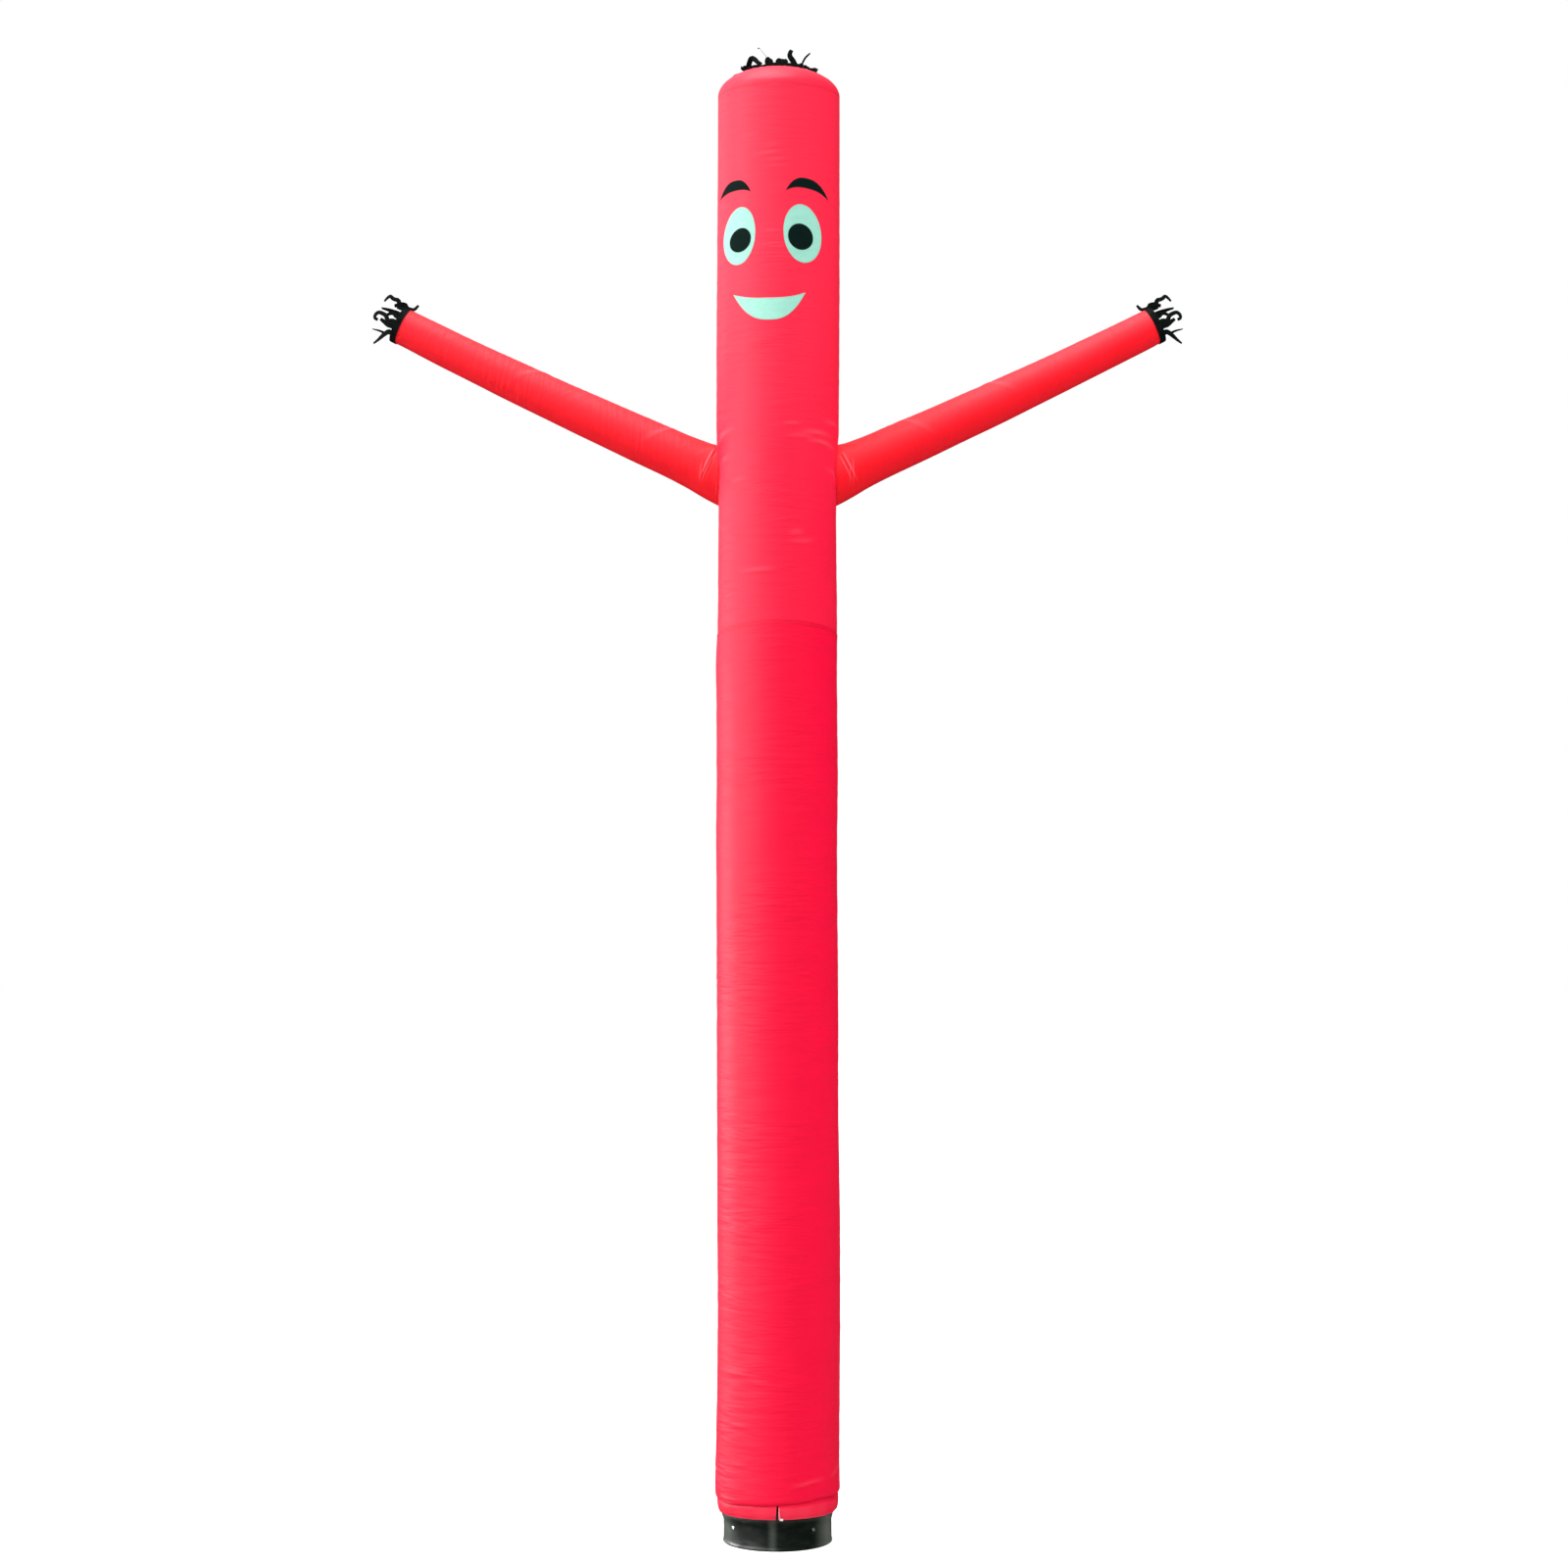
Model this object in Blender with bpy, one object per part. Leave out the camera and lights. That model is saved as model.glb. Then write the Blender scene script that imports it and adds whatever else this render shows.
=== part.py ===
"""Inflatable air dancer standing on the collar of its blower, one object for each sewn or fitted piece.

Metres, +Z up. The origin is on the ground in the middle of the collar. The face looks along -Y and
the arms reach out along X. Angles round the body are measured from the front, positive towards +X.
"""

import math
import random
from collections import namedtuple

import bmesh
import bpy
from mathutils import Matrix, Vector

# ---------------------------------------------------------------- driving dimensions, metres

GAP = 0.0003  # between pieces that touch
CLOTH = 0.002  # thickness of the red panels
PATCH = 0.001  # thickness of the face patches
PATCH_SPARE = 0.02  # how far the cloth a patch is cut from runs past its outline
SIDES = 36  # facets round the body, one of them square to the front

BODY_RADIUS = 0.248
LAP = 0.018  # the lower panel overlaps the upper one by this much
SEAM_HEIGHT = 3.688
SEAM_TILT = 0.047  # the seam is this much higher at the front, and lower at the back
SHOULDER_HEIGHT = 5.880
CAP_RIM = 0.006  # the cap starts with this much of straight side
DOME_HEIGHT = 0.110
VENT_RADIUS = 0.085

HEM_HEIGHT = 0.137
HEM_RADIUS = 0.2370
CREASE_HEIGHT = 0.192
SLIT_WIDTH = 0.014
SLIT_X = -0.002

COLLAR_RADIUS = 0.220
COLLAR_WALL = 0.006
COLLAR_TOP = 0.212
BEAD_RADIUS = 0.2395
BEAD_HALF_HEIGHT = 0.011  # the hem's drawstring grips under this bead
BEAD_ROUNDING = 0.004
BEAD_SLOPE = 0.006

SCREW_RADIUS = 0.0075
SCREW_HEAD = 0.0035
SCREW_LENGTH = 0.012
SCREW_HEIGHT = 0.076
SCREW_ANGLES = {"left": -54.7, "right": 41.6}  # degrees

TAB_THICKNESS = 0.0018
TAB_LEFT, TAB_RIGHT = 0.0080, 0.0240
TAB_HEIGHTS = (0.1270, 0.1340, 0.1400)
TAB_FLARE = 0.0021  # the tab leans out over the hem's own slope

ARM_SIDES = 24
ARM_START = 0.12  # x at which the sleeve's axis begins, inside the body
ARM_START_HEIGHT = 4.2917
ARM_SLOPE = 0.456
ARM_LIFT = 0.0103  # the sleeve curves up towards the hand, with the cube of its reach
ARM_SET_BACK = 0.055  # it is sewn in a little behind the middle of the side
ARM_BACK = 0.0312  # and leans back by this much for each metre
CUFF_WIDTH = 0.026
CUFF_THICKNESS = 0.0015
CUFF_SIDES = 48

HAIR_RING_RADIUS = 0.104
HAIR_RING_HEIGHT = 0.008
HAIR_SIDES = 60
HAIR_SEED = 5  # the strips' curls are drawn at random, the same each time
HAND_SEED = 7
CURL_STEPS = 7

Row = namedtuple("Row", "height radius follows")
LOWER_ROWS = (
    Row(HEM_HEIGHT, HEM_RADIUS, "hem"),
    Row(0.152, 0.2420, "hem"),
    Row(0.170, 0.2435, "hem"),
    Row(CREASE_HEIGHT, 0.2420, "crease"),
    Row(0.206, 0.2470, "crease"),
    Row(0.226, 0.2505, "crease"),
    Row(0.284, 0.2530, "level"),
    Row(0.364, 0.2505, "level"),
    Row(0.550, 0.2490, "level"),
    Row(1.084, 0.2480, "level"),
    Row(1.760, 0.2472, "level"),
    Row(2.440, 0.2470, "level"),
    Row(3.060, 0.2474, "level"),
    Row(3.560, 0.2470, "level"),
    Row(SEAM_HEIGHT, 0.2460, "seam"),
)
UPPER_ROWS = (
    Row(SEAM_HEIGHT - LAP, 0.2437, "seam"),
    Row(SEAM_HEIGHT + LAP, 0.2437, "seam"),
    Row(3.884, 0.2425, "level"),
    Row(4.080, 0.2408, "level"),
    Row(4.200, 0.2400, "level"),
    Row(4.320, 0.2415, "level"),
    Row(4.440, 0.2445, "level"),
    Row(4.500, 0.2480, "chest"),
    Row(4.525, 0.2455, "chest"),
    Row(4.560, 0.2480, "chest"),
    Row(4.700, BODY_RADIUS, "level"),
    Row(5.300, BODY_RADIUS, "level"),
    Row(5.800, BODY_RADIUS, "level"),
    Row(SHOULDER_HEIGHT, BODY_RADIUS, "level"),
)
DOME_RADII = (BODY_RADIUS, 0.244, 0.233, 0.212, 0.180, 0.143, 0.103, VENT_RADIUS)

Sleeve = namedtuple("Sleeve", "reach radius pleat")
SLEEVE_ROWS = (
    Sleeve(ARM_START, 0.1150, 0.0),
    Sleeve(0.200, 0.1120, 0.0030),
    Sleeve(0.254, 0.1085, 0.0035),
    Sleeve(0.294, 0.1025, 0.0030),
    Sleeve(0.334, 0.0975, 0.0020),
    Sleeve(0.414, 0.0925, 0.0010),
    Sleeve(0.540, 0.0900, 0.0),
    Sleeve(0.700, 0.0870, 0.0),
    Sleeve(0.900, 0.0835, 0.0),
    Sleeve(1.100, 0.0800, 0.0),
    Sleeve(1.300, 0.0770, 0.0),
    Sleeve(1.538, 0.0750, 0.0),
)

RED = (0.86, 0.015, 0.045)
CORAL_RED = (0.88, 0.02, 0.035)
BLACK = (0.008, 0.012, 0.012)
MINT = (0.70, 0.93, 0.84)
WHITE = (0.85, 0.86, 0.84)
DARK_GREY = (0.035, 0.042, 0.038)


# ---------------------------------------------------------------- shared helpers


def material(name, colour, roughness, metallic=0.0):
    made = bpy.data.materials.get(name) or bpy.data.materials.new(name)
    made.use_nodes = True
    shader = made.node_tree.nodes["Principled BSDF"]
    shader.inputs["Base Color"].default_value = (*colour, 1.0)
    shader.inputs["Roughness"].default_value = roughness
    shader.inputs["Metallic"].default_value = metallic
    return made


def add_object(name, bm, finish=None, is_cutter=False):
    mesh = bpy.data.meshes.new(name)
    bm.to_mesh(mesh)
    bm.free()
    made = bpy.data.objects.new(name, mesh)
    bpy.context.collection.objects.link(made)
    if finish:
        mesh.materials.append(finish)
    if is_cutter:
        made.hide_render = True
        made.display_type = "WIRE"
    return made


def thicken(piece, thickness):
    """Gives a surface its wall, inwards from the side its faces look to."""
    wall = piece.modifiers.new("wall", "SOLIDIFY")
    wall.thickness = thickness
    wall.offset = -1.0
    wall.use_even_offset = True


def cut(piece, cutter, operation="DIFFERENCE"):
    boolean = piece.modifiers.new("cut", "BOOLEAN")
    boolean.operation = operation
    boolean.solver = "EXACT"
    boolean.object = cutter


def grid_faces(bm, rings, is_closed=True, leaves_out=lambda row, column: False):
    """Quads between successive rings of points, given from the lowest ring up, turning with +angle."""
    made = [[bm.verts.new(point) for point in ring] for ring in rings]
    count = len(made[0])
    for row, (low, high) in enumerate(zip(made, made[1:])):
        for column in range(count if is_closed else count - 1):
            after = (column + 1) % count
            if not leaves_out(row, column):
                bm.faces.new((low[column], low[after], high[after], high[column]))
    return made


def close_ends(bm, rings):
    bm.faces.new(list(reversed(rings[0])))
    bm.faces.new(rings[-1])


# ---------------------------------------------------------------- the body's surface


def facet_radius(corner_radius, angle):
    """Distance from the axis to the SIDES-sided outline at an angle."""
    step = math.tau / SIDES
    from_middle = (angle + step / 2) % step - step / 2
    return corner_radius * math.cos(step / 2) / math.cos(from_middle)


def body_point(corner_radius, angle, height):
    radius = facet_radius(corner_radius, angle)
    return Vector((radius * math.sin(angle), -radius * math.cos(angle), height))


def body_corners():
    step = math.tau / SIDES
    return [step * (index + 0.5) - math.pi for index in range(SIDES)]


def sway(follows, angle):
    """How far a row rises and falls as it goes round the body."""
    if follows == "hem":
        return -0.004 * math.cos(2 * angle) + 0.002 * math.sin(3 * angle + 1.0)
    if follows == "crease":
        return 0.011 * math.sin(angle) + 0.002 * math.cos(4 * angle)
    if follows == "seam":
        return SEAM_TILT * math.cos(angle)
    if follows == "chest":
        return -0.012 * math.cos(2 * angle) + 0.006 * math.sin(angle)
    return 0.0


def body_rings(rows, angles, lift=0.0):
    return [
        [body_point(row.radius + lift, angle, row.height + sway(row.follows, angle)) for angle in angles]
        for row in rows
    ]


def build_tube_lower(red):
    left_edge, right_edge = (
        math.asin((SLIT_X + side * SLIT_WIDTH / 2) / BODY_RADIUS) for side in (-1, 1)
    )
    angles = sorted([*body_corners(), left_edge, right_edge])
    slit_column = angles.index(left_edge)
    slit_rows = [row.follows for row in LOWER_ROWS].index("crease")
    bm = bmesh.new()
    grid_faces(
        bm,
        body_rings(LOWER_ROWS, angles),
        leaves_out=lambda row, column: column == slit_column and row < slit_rows,
    )
    thicken(add_object("tube_lower", bm, red), CLOTH)


def build_tube_upper(red):
    bm = bmesh.new()
    grid_faces(bm, body_rings(UPPER_ROWS, body_corners()))
    piece = add_object("tube_upper", bm, red)
    thicken(piece, CLOTH)
    for side in (-1, 1):
        cut(piece, sleeve_solid(f"cutter_arm_hole_{side}", side, -CLOTH))


def body_solid(name, lift):
    """The upper body as one closed solid, raised off its surface by `lift`, to trim what meets it."""
    bm = bmesh.new()
    close_ends(bm, grid_faces(bm, body_rings(UPPER_ROWS, body_corners(), lift)))
    return add_object(name, bm, is_cutter=True)


# ---------------------------------------------------------------- head and hair


def dome_height(radius):
    rise = DOME_HEIGHT * math.sqrt(max(0.0, 1 - (radius / BODY_RADIUS) ** 2))
    return SHOULDER_HEIGHT + CAP_RIM + rise


def faceted_dome_height(corner_radius):
    """Height of the cap as built, whose rows are joined by straight runs."""
    for outer, inner in zip(DOME_RADII, DOME_RADII[1:]):
        if inner <= corner_radius <= outer:
            share = (outer - corner_radius) / (outer - inner)
            return dome_height(outer) + share * (dome_height(inner) - dome_height(outer))
    raise ValueError("outside the cap")


def build_head_cap(red):
    rim = [body_point(BODY_RADIUS, angle, SHOULDER_HEIGHT + GAP) for angle in body_corners()]
    rings = [
        [body_point(radius, angle, dome_height(radius)) for angle in body_corners()]
        for radius in DOME_RADII
    ]
    bm = bmesh.new()
    grid_faces(bm, [rim, *rings])
    thicken(add_object("head_cap", bm, red), CLOTH)


Curl = namedtuple("Curl", "length start end bow sway")


def slopes(curl):
    """The strip's slope along each of its equal steps, in radians."""
    for step in range(1, CURL_STEPS + 1):
        share = step / CURL_STEPS
        turned = (curl.end - curl.start) * share**1.4
        yield math.radians(curl.start + turned + curl.bow * math.sin(math.tau * share))


def curl_strip(bm, face, along, outward, curl):
    """Draws a strip out of one end face of a tape, in equal steps that turn from `along` to `outward`.

    Start and end are the strip's slopes in degrees, bow is an S-bend on top of them, and sway is how
    far its tip drifts sideways.
    """
    across = along.cross(outward)
    centre = face.calc_center_median()
    corners = [
        ((corner.co - centre).dot(across), (corner.co - centre).dot(outward)) for corner in face.verts
    ]
    stride = curl.length / CURL_STEPS
    for slope in slopes(curl):
        heading = along * math.cos(slope) + outward * math.sin(slope)
        normal = outward * math.cos(slope) - along * math.sin(slope)
        centre = centre + heading * stride + across * (curl.sway / CURL_STEPS)
        face = bmesh.ops.extrude_discrete_faces(bm, faces=[face])["faces"][0]
        for corner, (u, v) in zip(face.verts, corners):
            corner.co = centre + across * u + normal * v


def fringed_tape(name, black, sides, inner, outer, foot, top, frame, curls):
    """A ring of tape with every second facet of its far end drawn out into a strip.

    `foot` and `top` give the ring's height along its axis for a radius and an angle, `frame` places
    the ring, and `curls` draws the Curl of one strip.
    """
    step = math.tau / sides
    angles = [step * (index + 0.5) for index in range(sides)]

    def ring(radius, height):
        return [
            Vector((radius * math.sin(a), -radius * math.cos(a), height(radius, a))) for a in angles
        ]

    bm = bmesh.new()
    rings = grid_faces(
        bm, [ring(inner, top), ring(inner, foot), ring(outer, foot), ring(outer, top)]
    )
    roots = []
    for index in range(sides):
        after = (index + 1) % sides
        face = bm.faces.new(
            (rings[3][index], rings[3][after], rings[0][after], rings[0][index])
        )
        if index % 2 == 0:
            roots.append((face, angles[index] + step / 2))
    for face, angle in roots:
        outward = Vector((math.sin(angle), -math.cos(angle), 0))
        curl_strip(bm, face, Vector((0, 0, 1)), outward, curls())
    bm.transform(frame)
    bmesh.ops.recalc_face_normals(bm, faces=bm.faces)
    return add_object(name, bm, black)


def clears_cap(curl):
    radius, height = HAIR_RING_RADIUS, dome_height(HAIR_RING_RADIUS) + HAIR_RING_HEIGHT
    stride = curl.length / CURL_STEPS
    for slope in slopes(curl):
        radius += stride * math.sin(slope)
        height += stride * math.cos(slope)
        if height < dome_height(radius) + 2 * CLOTH:
            return False
    return True


def build_hair_fringe(black):
    draw = random.Random(HAIR_SEED)

    def foot(radius, angle):
        corner_radius = radius * radius / facet_radius(radius, angle)
        return faceted_dome_height(corner_radius) + GAP

    def top(radius, angle):
        return dome_height(HAIR_RING_RADIUS) + HAIR_RING_HEIGHT

    def curls():
        if draw.random() < 0.25:
            return Curl(
                length=draw.uniform(0.080, 0.100),
                start=draw.uniform(-5, 15),
                end=draw.uniform(-40, 70),
                bow=draw.uniform(-45, 45),
                sway=draw.uniform(-0.007, 0.007),
            )
        curl = Curl(
            length=draw.uniform(0.065, 0.100),
            start=draw.uniform(15, 45),
            end=draw.uniform(110, 210),
            bow=draw.uniform(-25, 25),
            sway=draw.uniform(-0.007, 0.007),
        )
        return curl if clears_cap(curl) else curls()

    fringed_tape(
        "hair_fringe", black, HAIR_SIDES, HAIR_RING_RADIUS - CLOTH / 2, HAIR_RING_RADIUS + CLOTH / 2,
        foot, top, Matrix.Identity(4), curls,
    )


# ---------------------------------------------------------------- arms and hands


def arm_axis(reach):
    out = reach - ARM_START
    height = ARM_START_HEIGHT + ARM_SLOPE * out + ARM_LIFT * out**3
    return Vector((reach, ARM_SET_BACK + ARM_BACK * out, height))


def arm_frame(reach):
    """Axes of the sleeve's section at a reach: local Z along the sleeve, towards the hand."""
    out = reach - ARM_START
    along = Vector((1, ARM_BACK, ARM_SLOPE + 3 * ARM_LIFT * out**2)).normalized()
    across = Vector((0, 0, 1)).cross(along).normalized()
    upward = along.cross(across)
    frame = Matrix((across, upward, along)).transposed().to_4x4()
    frame.translation = arm_axis(reach)
    return frame


def sleeve_ring(reach, radius, pleat):
    frame = arm_frame(reach)
    points = []
    for index in range(ARM_SIDES):
        angle = math.tau * (index + 0.5) / ARM_SIDES
        fold = pleat * (math.cos(8 * angle) + 0.4 * math.sin(5 * angle))
        around = Vector((math.sin(angle), -math.cos(angle), 0)) * (radius + fold)
        points.append(frame @ around)
    return points


def sleeve_rings(lift):
    rings = [sleeve_ring(row.reach, row.radius + lift, row.pleat) for row in SLEEVE_ROWS]
    end = arm_frame(SLEEVE_ROWS[-1].reach)
    under_cuff = end.to_3x3() @ Vector((0, 0, CUFF_WIDTH - GAP))
    return rings + [[point + under_cuff for point in rings[-1]]]


def mirror_to(side, bm):
    """The sleeves are worked out for +X; the other one is their mirror image."""
    if side < 0:
        bmesh.ops.scale(bm, vec=(-1, 1, 1), verts=bm.verts)
        bmesh.ops.reverse_faces(bm, faces=bm.faces)


def sleeve_solid(name, side, lift):
    bm = bmesh.new()
    close_ends(bm, grid_faces(bm, sleeve_rings(lift)))
    mirror_to(side, bm)
    return add_object(name, bm, is_cutter=True)


def build_arm(name, side, red, trimmer):
    bm = bmesh.new()
    grid_faces(bm, sleeve_rings(0.0))
    mirror_to(side, bm)
    piece = add_object(name, bm, red)
    thicken(piece, CLOTH)
    cut(piece, trimmer)


def build_hand_fringe(name, side, black):
    draw = random.Random(HAND_SEED)
    end = SLEEVE_ROWS[-1]
    inner = (end.radius + GAP) / math.cos(math.pi / CUFF_SIDES)

    def curls():
        if draw.random() < 0.5:
            return Curl(
                length=draw.uniform(0.065, 0.105),
                start=draw.uniform(0, 20),
                end=draw.uniform(70, 200),
                bow=draw.uniform(-30, 30),
                sway=draw.uniform(-0.005, 0.005),
            )
        return Curl(
            length=draw.uniform(0.050, 0.095),
            start=draw.uniform(0, 20),
            end=draw.uniform(-50, 40),
            bow=draw.uniform(-45, 45),
            sway=draw.uniform(-0.005, 0.005),
        )

    piece = fringed_tape(
        name, black, CUFF_SIDES, inner, inner + CUFF_THICKNESS,
        lambda radius, angle: 0.0, lambda radius, angle: CUFF_WIDTH,
        arm_frame(end.reach), curls,
    )
    if side < 0:
        piece.data.transform(Matrix.Diagonal((-1, 1, 1, 1)))
        piece.data.flip_normals()


# ---------------------------------------------------------------- face


def patch(name, outline, layer, colour):
    """A cloth patch of a front outline [(x, z)], lying on the body, on top of `layer` other patches."""
    lift = GAP + layer * (PATCH + GAP) + PATCH
    heights = [z for _, z in outline]
    rows = (
        Row(min(heights) - PATCH_SPARE, BODY_RADIUS, "level"),
        Row(max(heights) + PATCH_SPARE, BODY_RADIUS, "level"),
    )
    front = [angle for angle in body_corners() if abs(angle) < math.radians(90)]
    bm = bmesh.new()
    grid_faces(bm, body_rings(rows, front, lift), is_closed=False)
    piece = add_object(name, bm, colour)
    thicken(piece, PATCH)

    bm = bmesh.new()
    depths = (-BODY_RADIUS - PATCH_SPARE, -PATCH_SPARE)
    ends = [[Vector((x, y, z)) for x, z in outline] for y in depths]
    close_ends(bm, grid_faces(bm, ends))
    bmesh.ops.recalc_face_normals(bm, faces=bm.faces)
    cut(piece, add_object(f"cutter_{name}", bm, is_cutter=True), "INTERSECT")


def egg(centre, half_width, half_height, lean, points=24):
    """An oval that leans sideways at its top by `lean`."""
    x0, z0 = centre
    angles = [math.tau * index / points for index in range(points)]
    return [
        (x0 + half_width * math.cos(a) + lean * math.sin(a), z0 + half_height * math.sin(a))
        for a in angles
    ]


def bowed(start, end, rise, fullness, points):
    """A curve (x, z) from start to end that rises off its chord by `rise`, without its last point.

    A fullness of 2 gives a parabola, and more gives steeper ends and a flatter middle.
    """
    curve = []
    for index in range(points):
        along = (1 - math.cos(math.pi * index / points)) / 2
        off = rise * (1 - abs(2 * along - 1) ** fullness)
        curve.append(
            (start[0] + along * (end[0] - start[0]), start[1] + along * (end[1] - start[1]) + off)
        )
    return curve


def crescent(left, right, rise_over, rise_under, fullness, points=8):
    """Between an upper and a lower curve that share their ends."""
    over = bowed(left, right, rise_over, fullness, points)
    under = bowed(right, left, rise_under, fullness, points)
    return over + under


Oval = namedtuple("Oval", "centre half_width half_height lean")
EYES = {
    "left": Oval((-0.1512, 5.280), 0.0661, 0.1165, 0.0062),
    "right": Oval((0.1006, 5.285), 0.0760, 0.1165, -0.0062),
}
PUPILS = {
    "left": Oval((-0.1488, 5.262), 0.0429, 0.0480, 0.0041),
    "right": Oval((0.0940, 5.270), 0.0486, 0.0490, -0.0031),
}
Crescent = namedtuple("Crescent", "left right rise_over rise_under fullness")
BROWS = {
    "left": Crescent((-0.2273, 5.449), (-0.1064, 5.452), 0.0530, 0.0150, 2.2),
    "right": Crescent((0.0382, 5.453), (0.1969, 5.436), 0.0620, 0.0240, 2.2),
}
MOUTH = Crescent((-0.1777, 5.047), (0.1152, 5.047), -0.0255, -0.1105, 2.6)


def build_face(mint, black):
    for side in ("left", "right"):
        patch(f"eye_{side}", egg(*EYES[side]), 0, mint)
        patch(f"pupil_{side}", egg(*PUPILS[side], points=20), 1, black)
        patch(f"brow_{side}", crescent(*BROWS[side]), 0, black)
    patch("mouth", crescent(*MOUTH, points=12), 0, mint)


# ---------------------------------------------------------------- collar


def collar_profile():
    """(radius, height) round the wall: down the bore, out along the foot and up over the bead."""
    bore = COLLAR_RADIUS - COLLAR_WALL
    low, high = CREASE_HEIGHT - BEAD_HALF_HEIGHT, CREASE_HEIGHT + BEAD_HALF_HEIGHT
    edge = BEAD_RADIUS - BEAD_ROUNDING
    return [
        (bore, COLLAR_TOP), (bore, 0.0), (COLLAR_RADIUS, 0.0), (COLLAR_RADIUS, low - BEAD_SLOPE),
        (edge, low), (BEAD_RADIUS, low + BEAD_ROUNDING),
        (BEAD_RADIUS, high - BEAD_ROUNDING), (edge, high),
        (COLLAR_RADIUS, COLLAR_TOP),
    ]


def build_collar(paint, metal):
    rings = [[body_point(r, a, z) for a in body_corners()] for r, z in collar_profile()]
    bm = bmesh.new()
    grid_faces(bm, [*rings, rings[0]])
    bmesh.ops.remove_doubles(bm, verts=bm.verts, dist=1e-6)
    add_object("collar", bm, paint)

    bm = bmesh.new()
    wall_rows = (
        Row(SCREW_HEIGHT - SCREW_LENGTH, COLLAR_RADIUS + GAP, "level"),
        Row(SCREW_HEIGHT + SCREW_LENGTH, COLLAR_RADIUS + GAP, "level"),
    )
    close_ends(bm, grid_faces(bm, body_rings(wall_rows, body_corners())))
    wall = add_object("cutter_collar_wall", bm, is_cutter=True)
    for side, degrees in SCREW_ANGLES.items():
        build_screw(f"collar_screw_{side}", math.radians(degrees), wall, metal)


def build_screw(name, angle, wall, metal):
    """A screw's domed head, cut off where it meets the collar's wall."""
    bm = bmesh.new()
    bmesh.ops.create_cone(
        bm, cap_ends=True, segments=12,
        radius1=SCREW_RADIUS, radius2=SCREW_RADIUS * 0.7, depth=SCREW_LENGTH,
    )
    outward = Vector((math.sin(angle), -math.cos(angle), 0))
    turn = outward.to_track_quat("Z", "Y").to_matrix().to_4x4()
    middle = outward * (COLLAR_RADIUS + SCREW_HEAD - SCREW_LENGTH / 2)
    bm.transform(Matrix.Translation(middle + Vector((0, 0, SCREW_HEIGHT))) @ turn)
    cut(add_object(name, bm, metal), wall)


def build_hem_tab(white):
    """A flat tab on the outside of the hem, at the slit's right-hand corner, hanging just below it."""
    radius = HEM_RADIUS + TAB_THICKNESS + 2 * GAP
    rows = [
        Row(height, radius + flare, "level") for height, flare in zip(TAB_HEIGHTS, (0, 0, TAB_FLARE))
    ]
    corner = next(angle for angle in body_corners() if angle > 0)
    angles = [math.asin(TAB_LEFT / BODY_RADIUS), corner, math.asin(TAB_RIGHT / BODY_RADIUS)]
    bm = bmesh.new()
    grid_faces(bm, body_rings(rows, angles), is_closed=False)
    thicken(add_object("hem_tab", bm, white), TAB_THICKNESS)


# ---------------------------------------------------------------- the whole object


def main():
    for old in list(bpy.data.objects):
        bpy.data.objects.remove(old)
    red = material("red_nylon", RED, 0.55)
    arm_red = material("red_nylon_arms", CORAL_RED, 0.55)
    black_cloth = material("black_nylon", BLACK, 0.6)
    mint = material("mint_patch", MINT, 0.6)
    white = material("white_tape", WHITE, 0.7)
    paint = material("collar_paint", DARK_GREY, 0.5)
    metal = material("screw_zinc", (0.75, 0.77, 0.75), 0.3, 1.0)

    build_collar(paint, metal)
    build_tube_lower(red)
    build_tube_upper(red)
    build_head_cap(red)
    trimmer = body_solid("cutter_body", GAP)
    build_arm("arm_left", -1, arm_red, trimmer)
    build_arm("arm_right", 1, arm_red, trimmer)
    build_hand_fringe("hand_fringe_left", -1, black_cloth)
    build_hand_fringe("hand_fringe_right", 1, black_cloth)
    build_hair_fringe(black_cloth)
    build_face(mint, black_cloth)
    build_hem_tab(white)


main()
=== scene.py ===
# %% [markdown]
# # An inflatable air dancer
#
# The figure is a tube of thin nylon that a blower fills from below. This lesson dresses its plain
# solids: each sewn piece is cut flat, rolled or bent to its place and creased, and each finish is
# made of shader nodes. Lengths are in metres, +Z is up and the face looks along -Y.

# %% Load the plain solids
import math
import random
from collections import namedtuple

import bmesh
import bpy
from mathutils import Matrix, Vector, noise


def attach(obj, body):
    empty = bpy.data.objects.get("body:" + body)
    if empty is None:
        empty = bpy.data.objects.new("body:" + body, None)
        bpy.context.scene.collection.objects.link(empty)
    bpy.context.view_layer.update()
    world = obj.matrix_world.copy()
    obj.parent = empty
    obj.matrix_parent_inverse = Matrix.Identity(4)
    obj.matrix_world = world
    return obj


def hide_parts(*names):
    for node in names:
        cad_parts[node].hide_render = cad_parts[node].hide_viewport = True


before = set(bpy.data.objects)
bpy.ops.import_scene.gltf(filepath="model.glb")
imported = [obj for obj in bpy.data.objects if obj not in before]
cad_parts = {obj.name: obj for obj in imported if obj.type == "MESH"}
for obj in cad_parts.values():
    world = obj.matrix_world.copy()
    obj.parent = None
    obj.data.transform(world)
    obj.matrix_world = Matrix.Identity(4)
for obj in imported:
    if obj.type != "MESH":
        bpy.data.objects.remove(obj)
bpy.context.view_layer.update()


def table(kind, rows):
    """Rows of numbers, each with the names of its columns."""
    return [kind(*row) for row in rows]


def put_in_scene(name, data):
    made = bpy.data.objects.new(name, data)
    bpy.context.scene.collection.objects.link(made)
    return made


print("solids loaded:", len(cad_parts))

# %% [markdown]
# ## Where we stand
#
# A long lens from twelve metres away keeps the tube's sides nearly parallel. The camera looks level
# from a little below the figure's middle, and a small shift brings the head into the picture.

# %% Camera
CAMERA_AT = Vector((0.026, -12.0, 2.70))
PICTURE_WIDTH = 6.40  # measured at the figure's own distance


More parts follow.
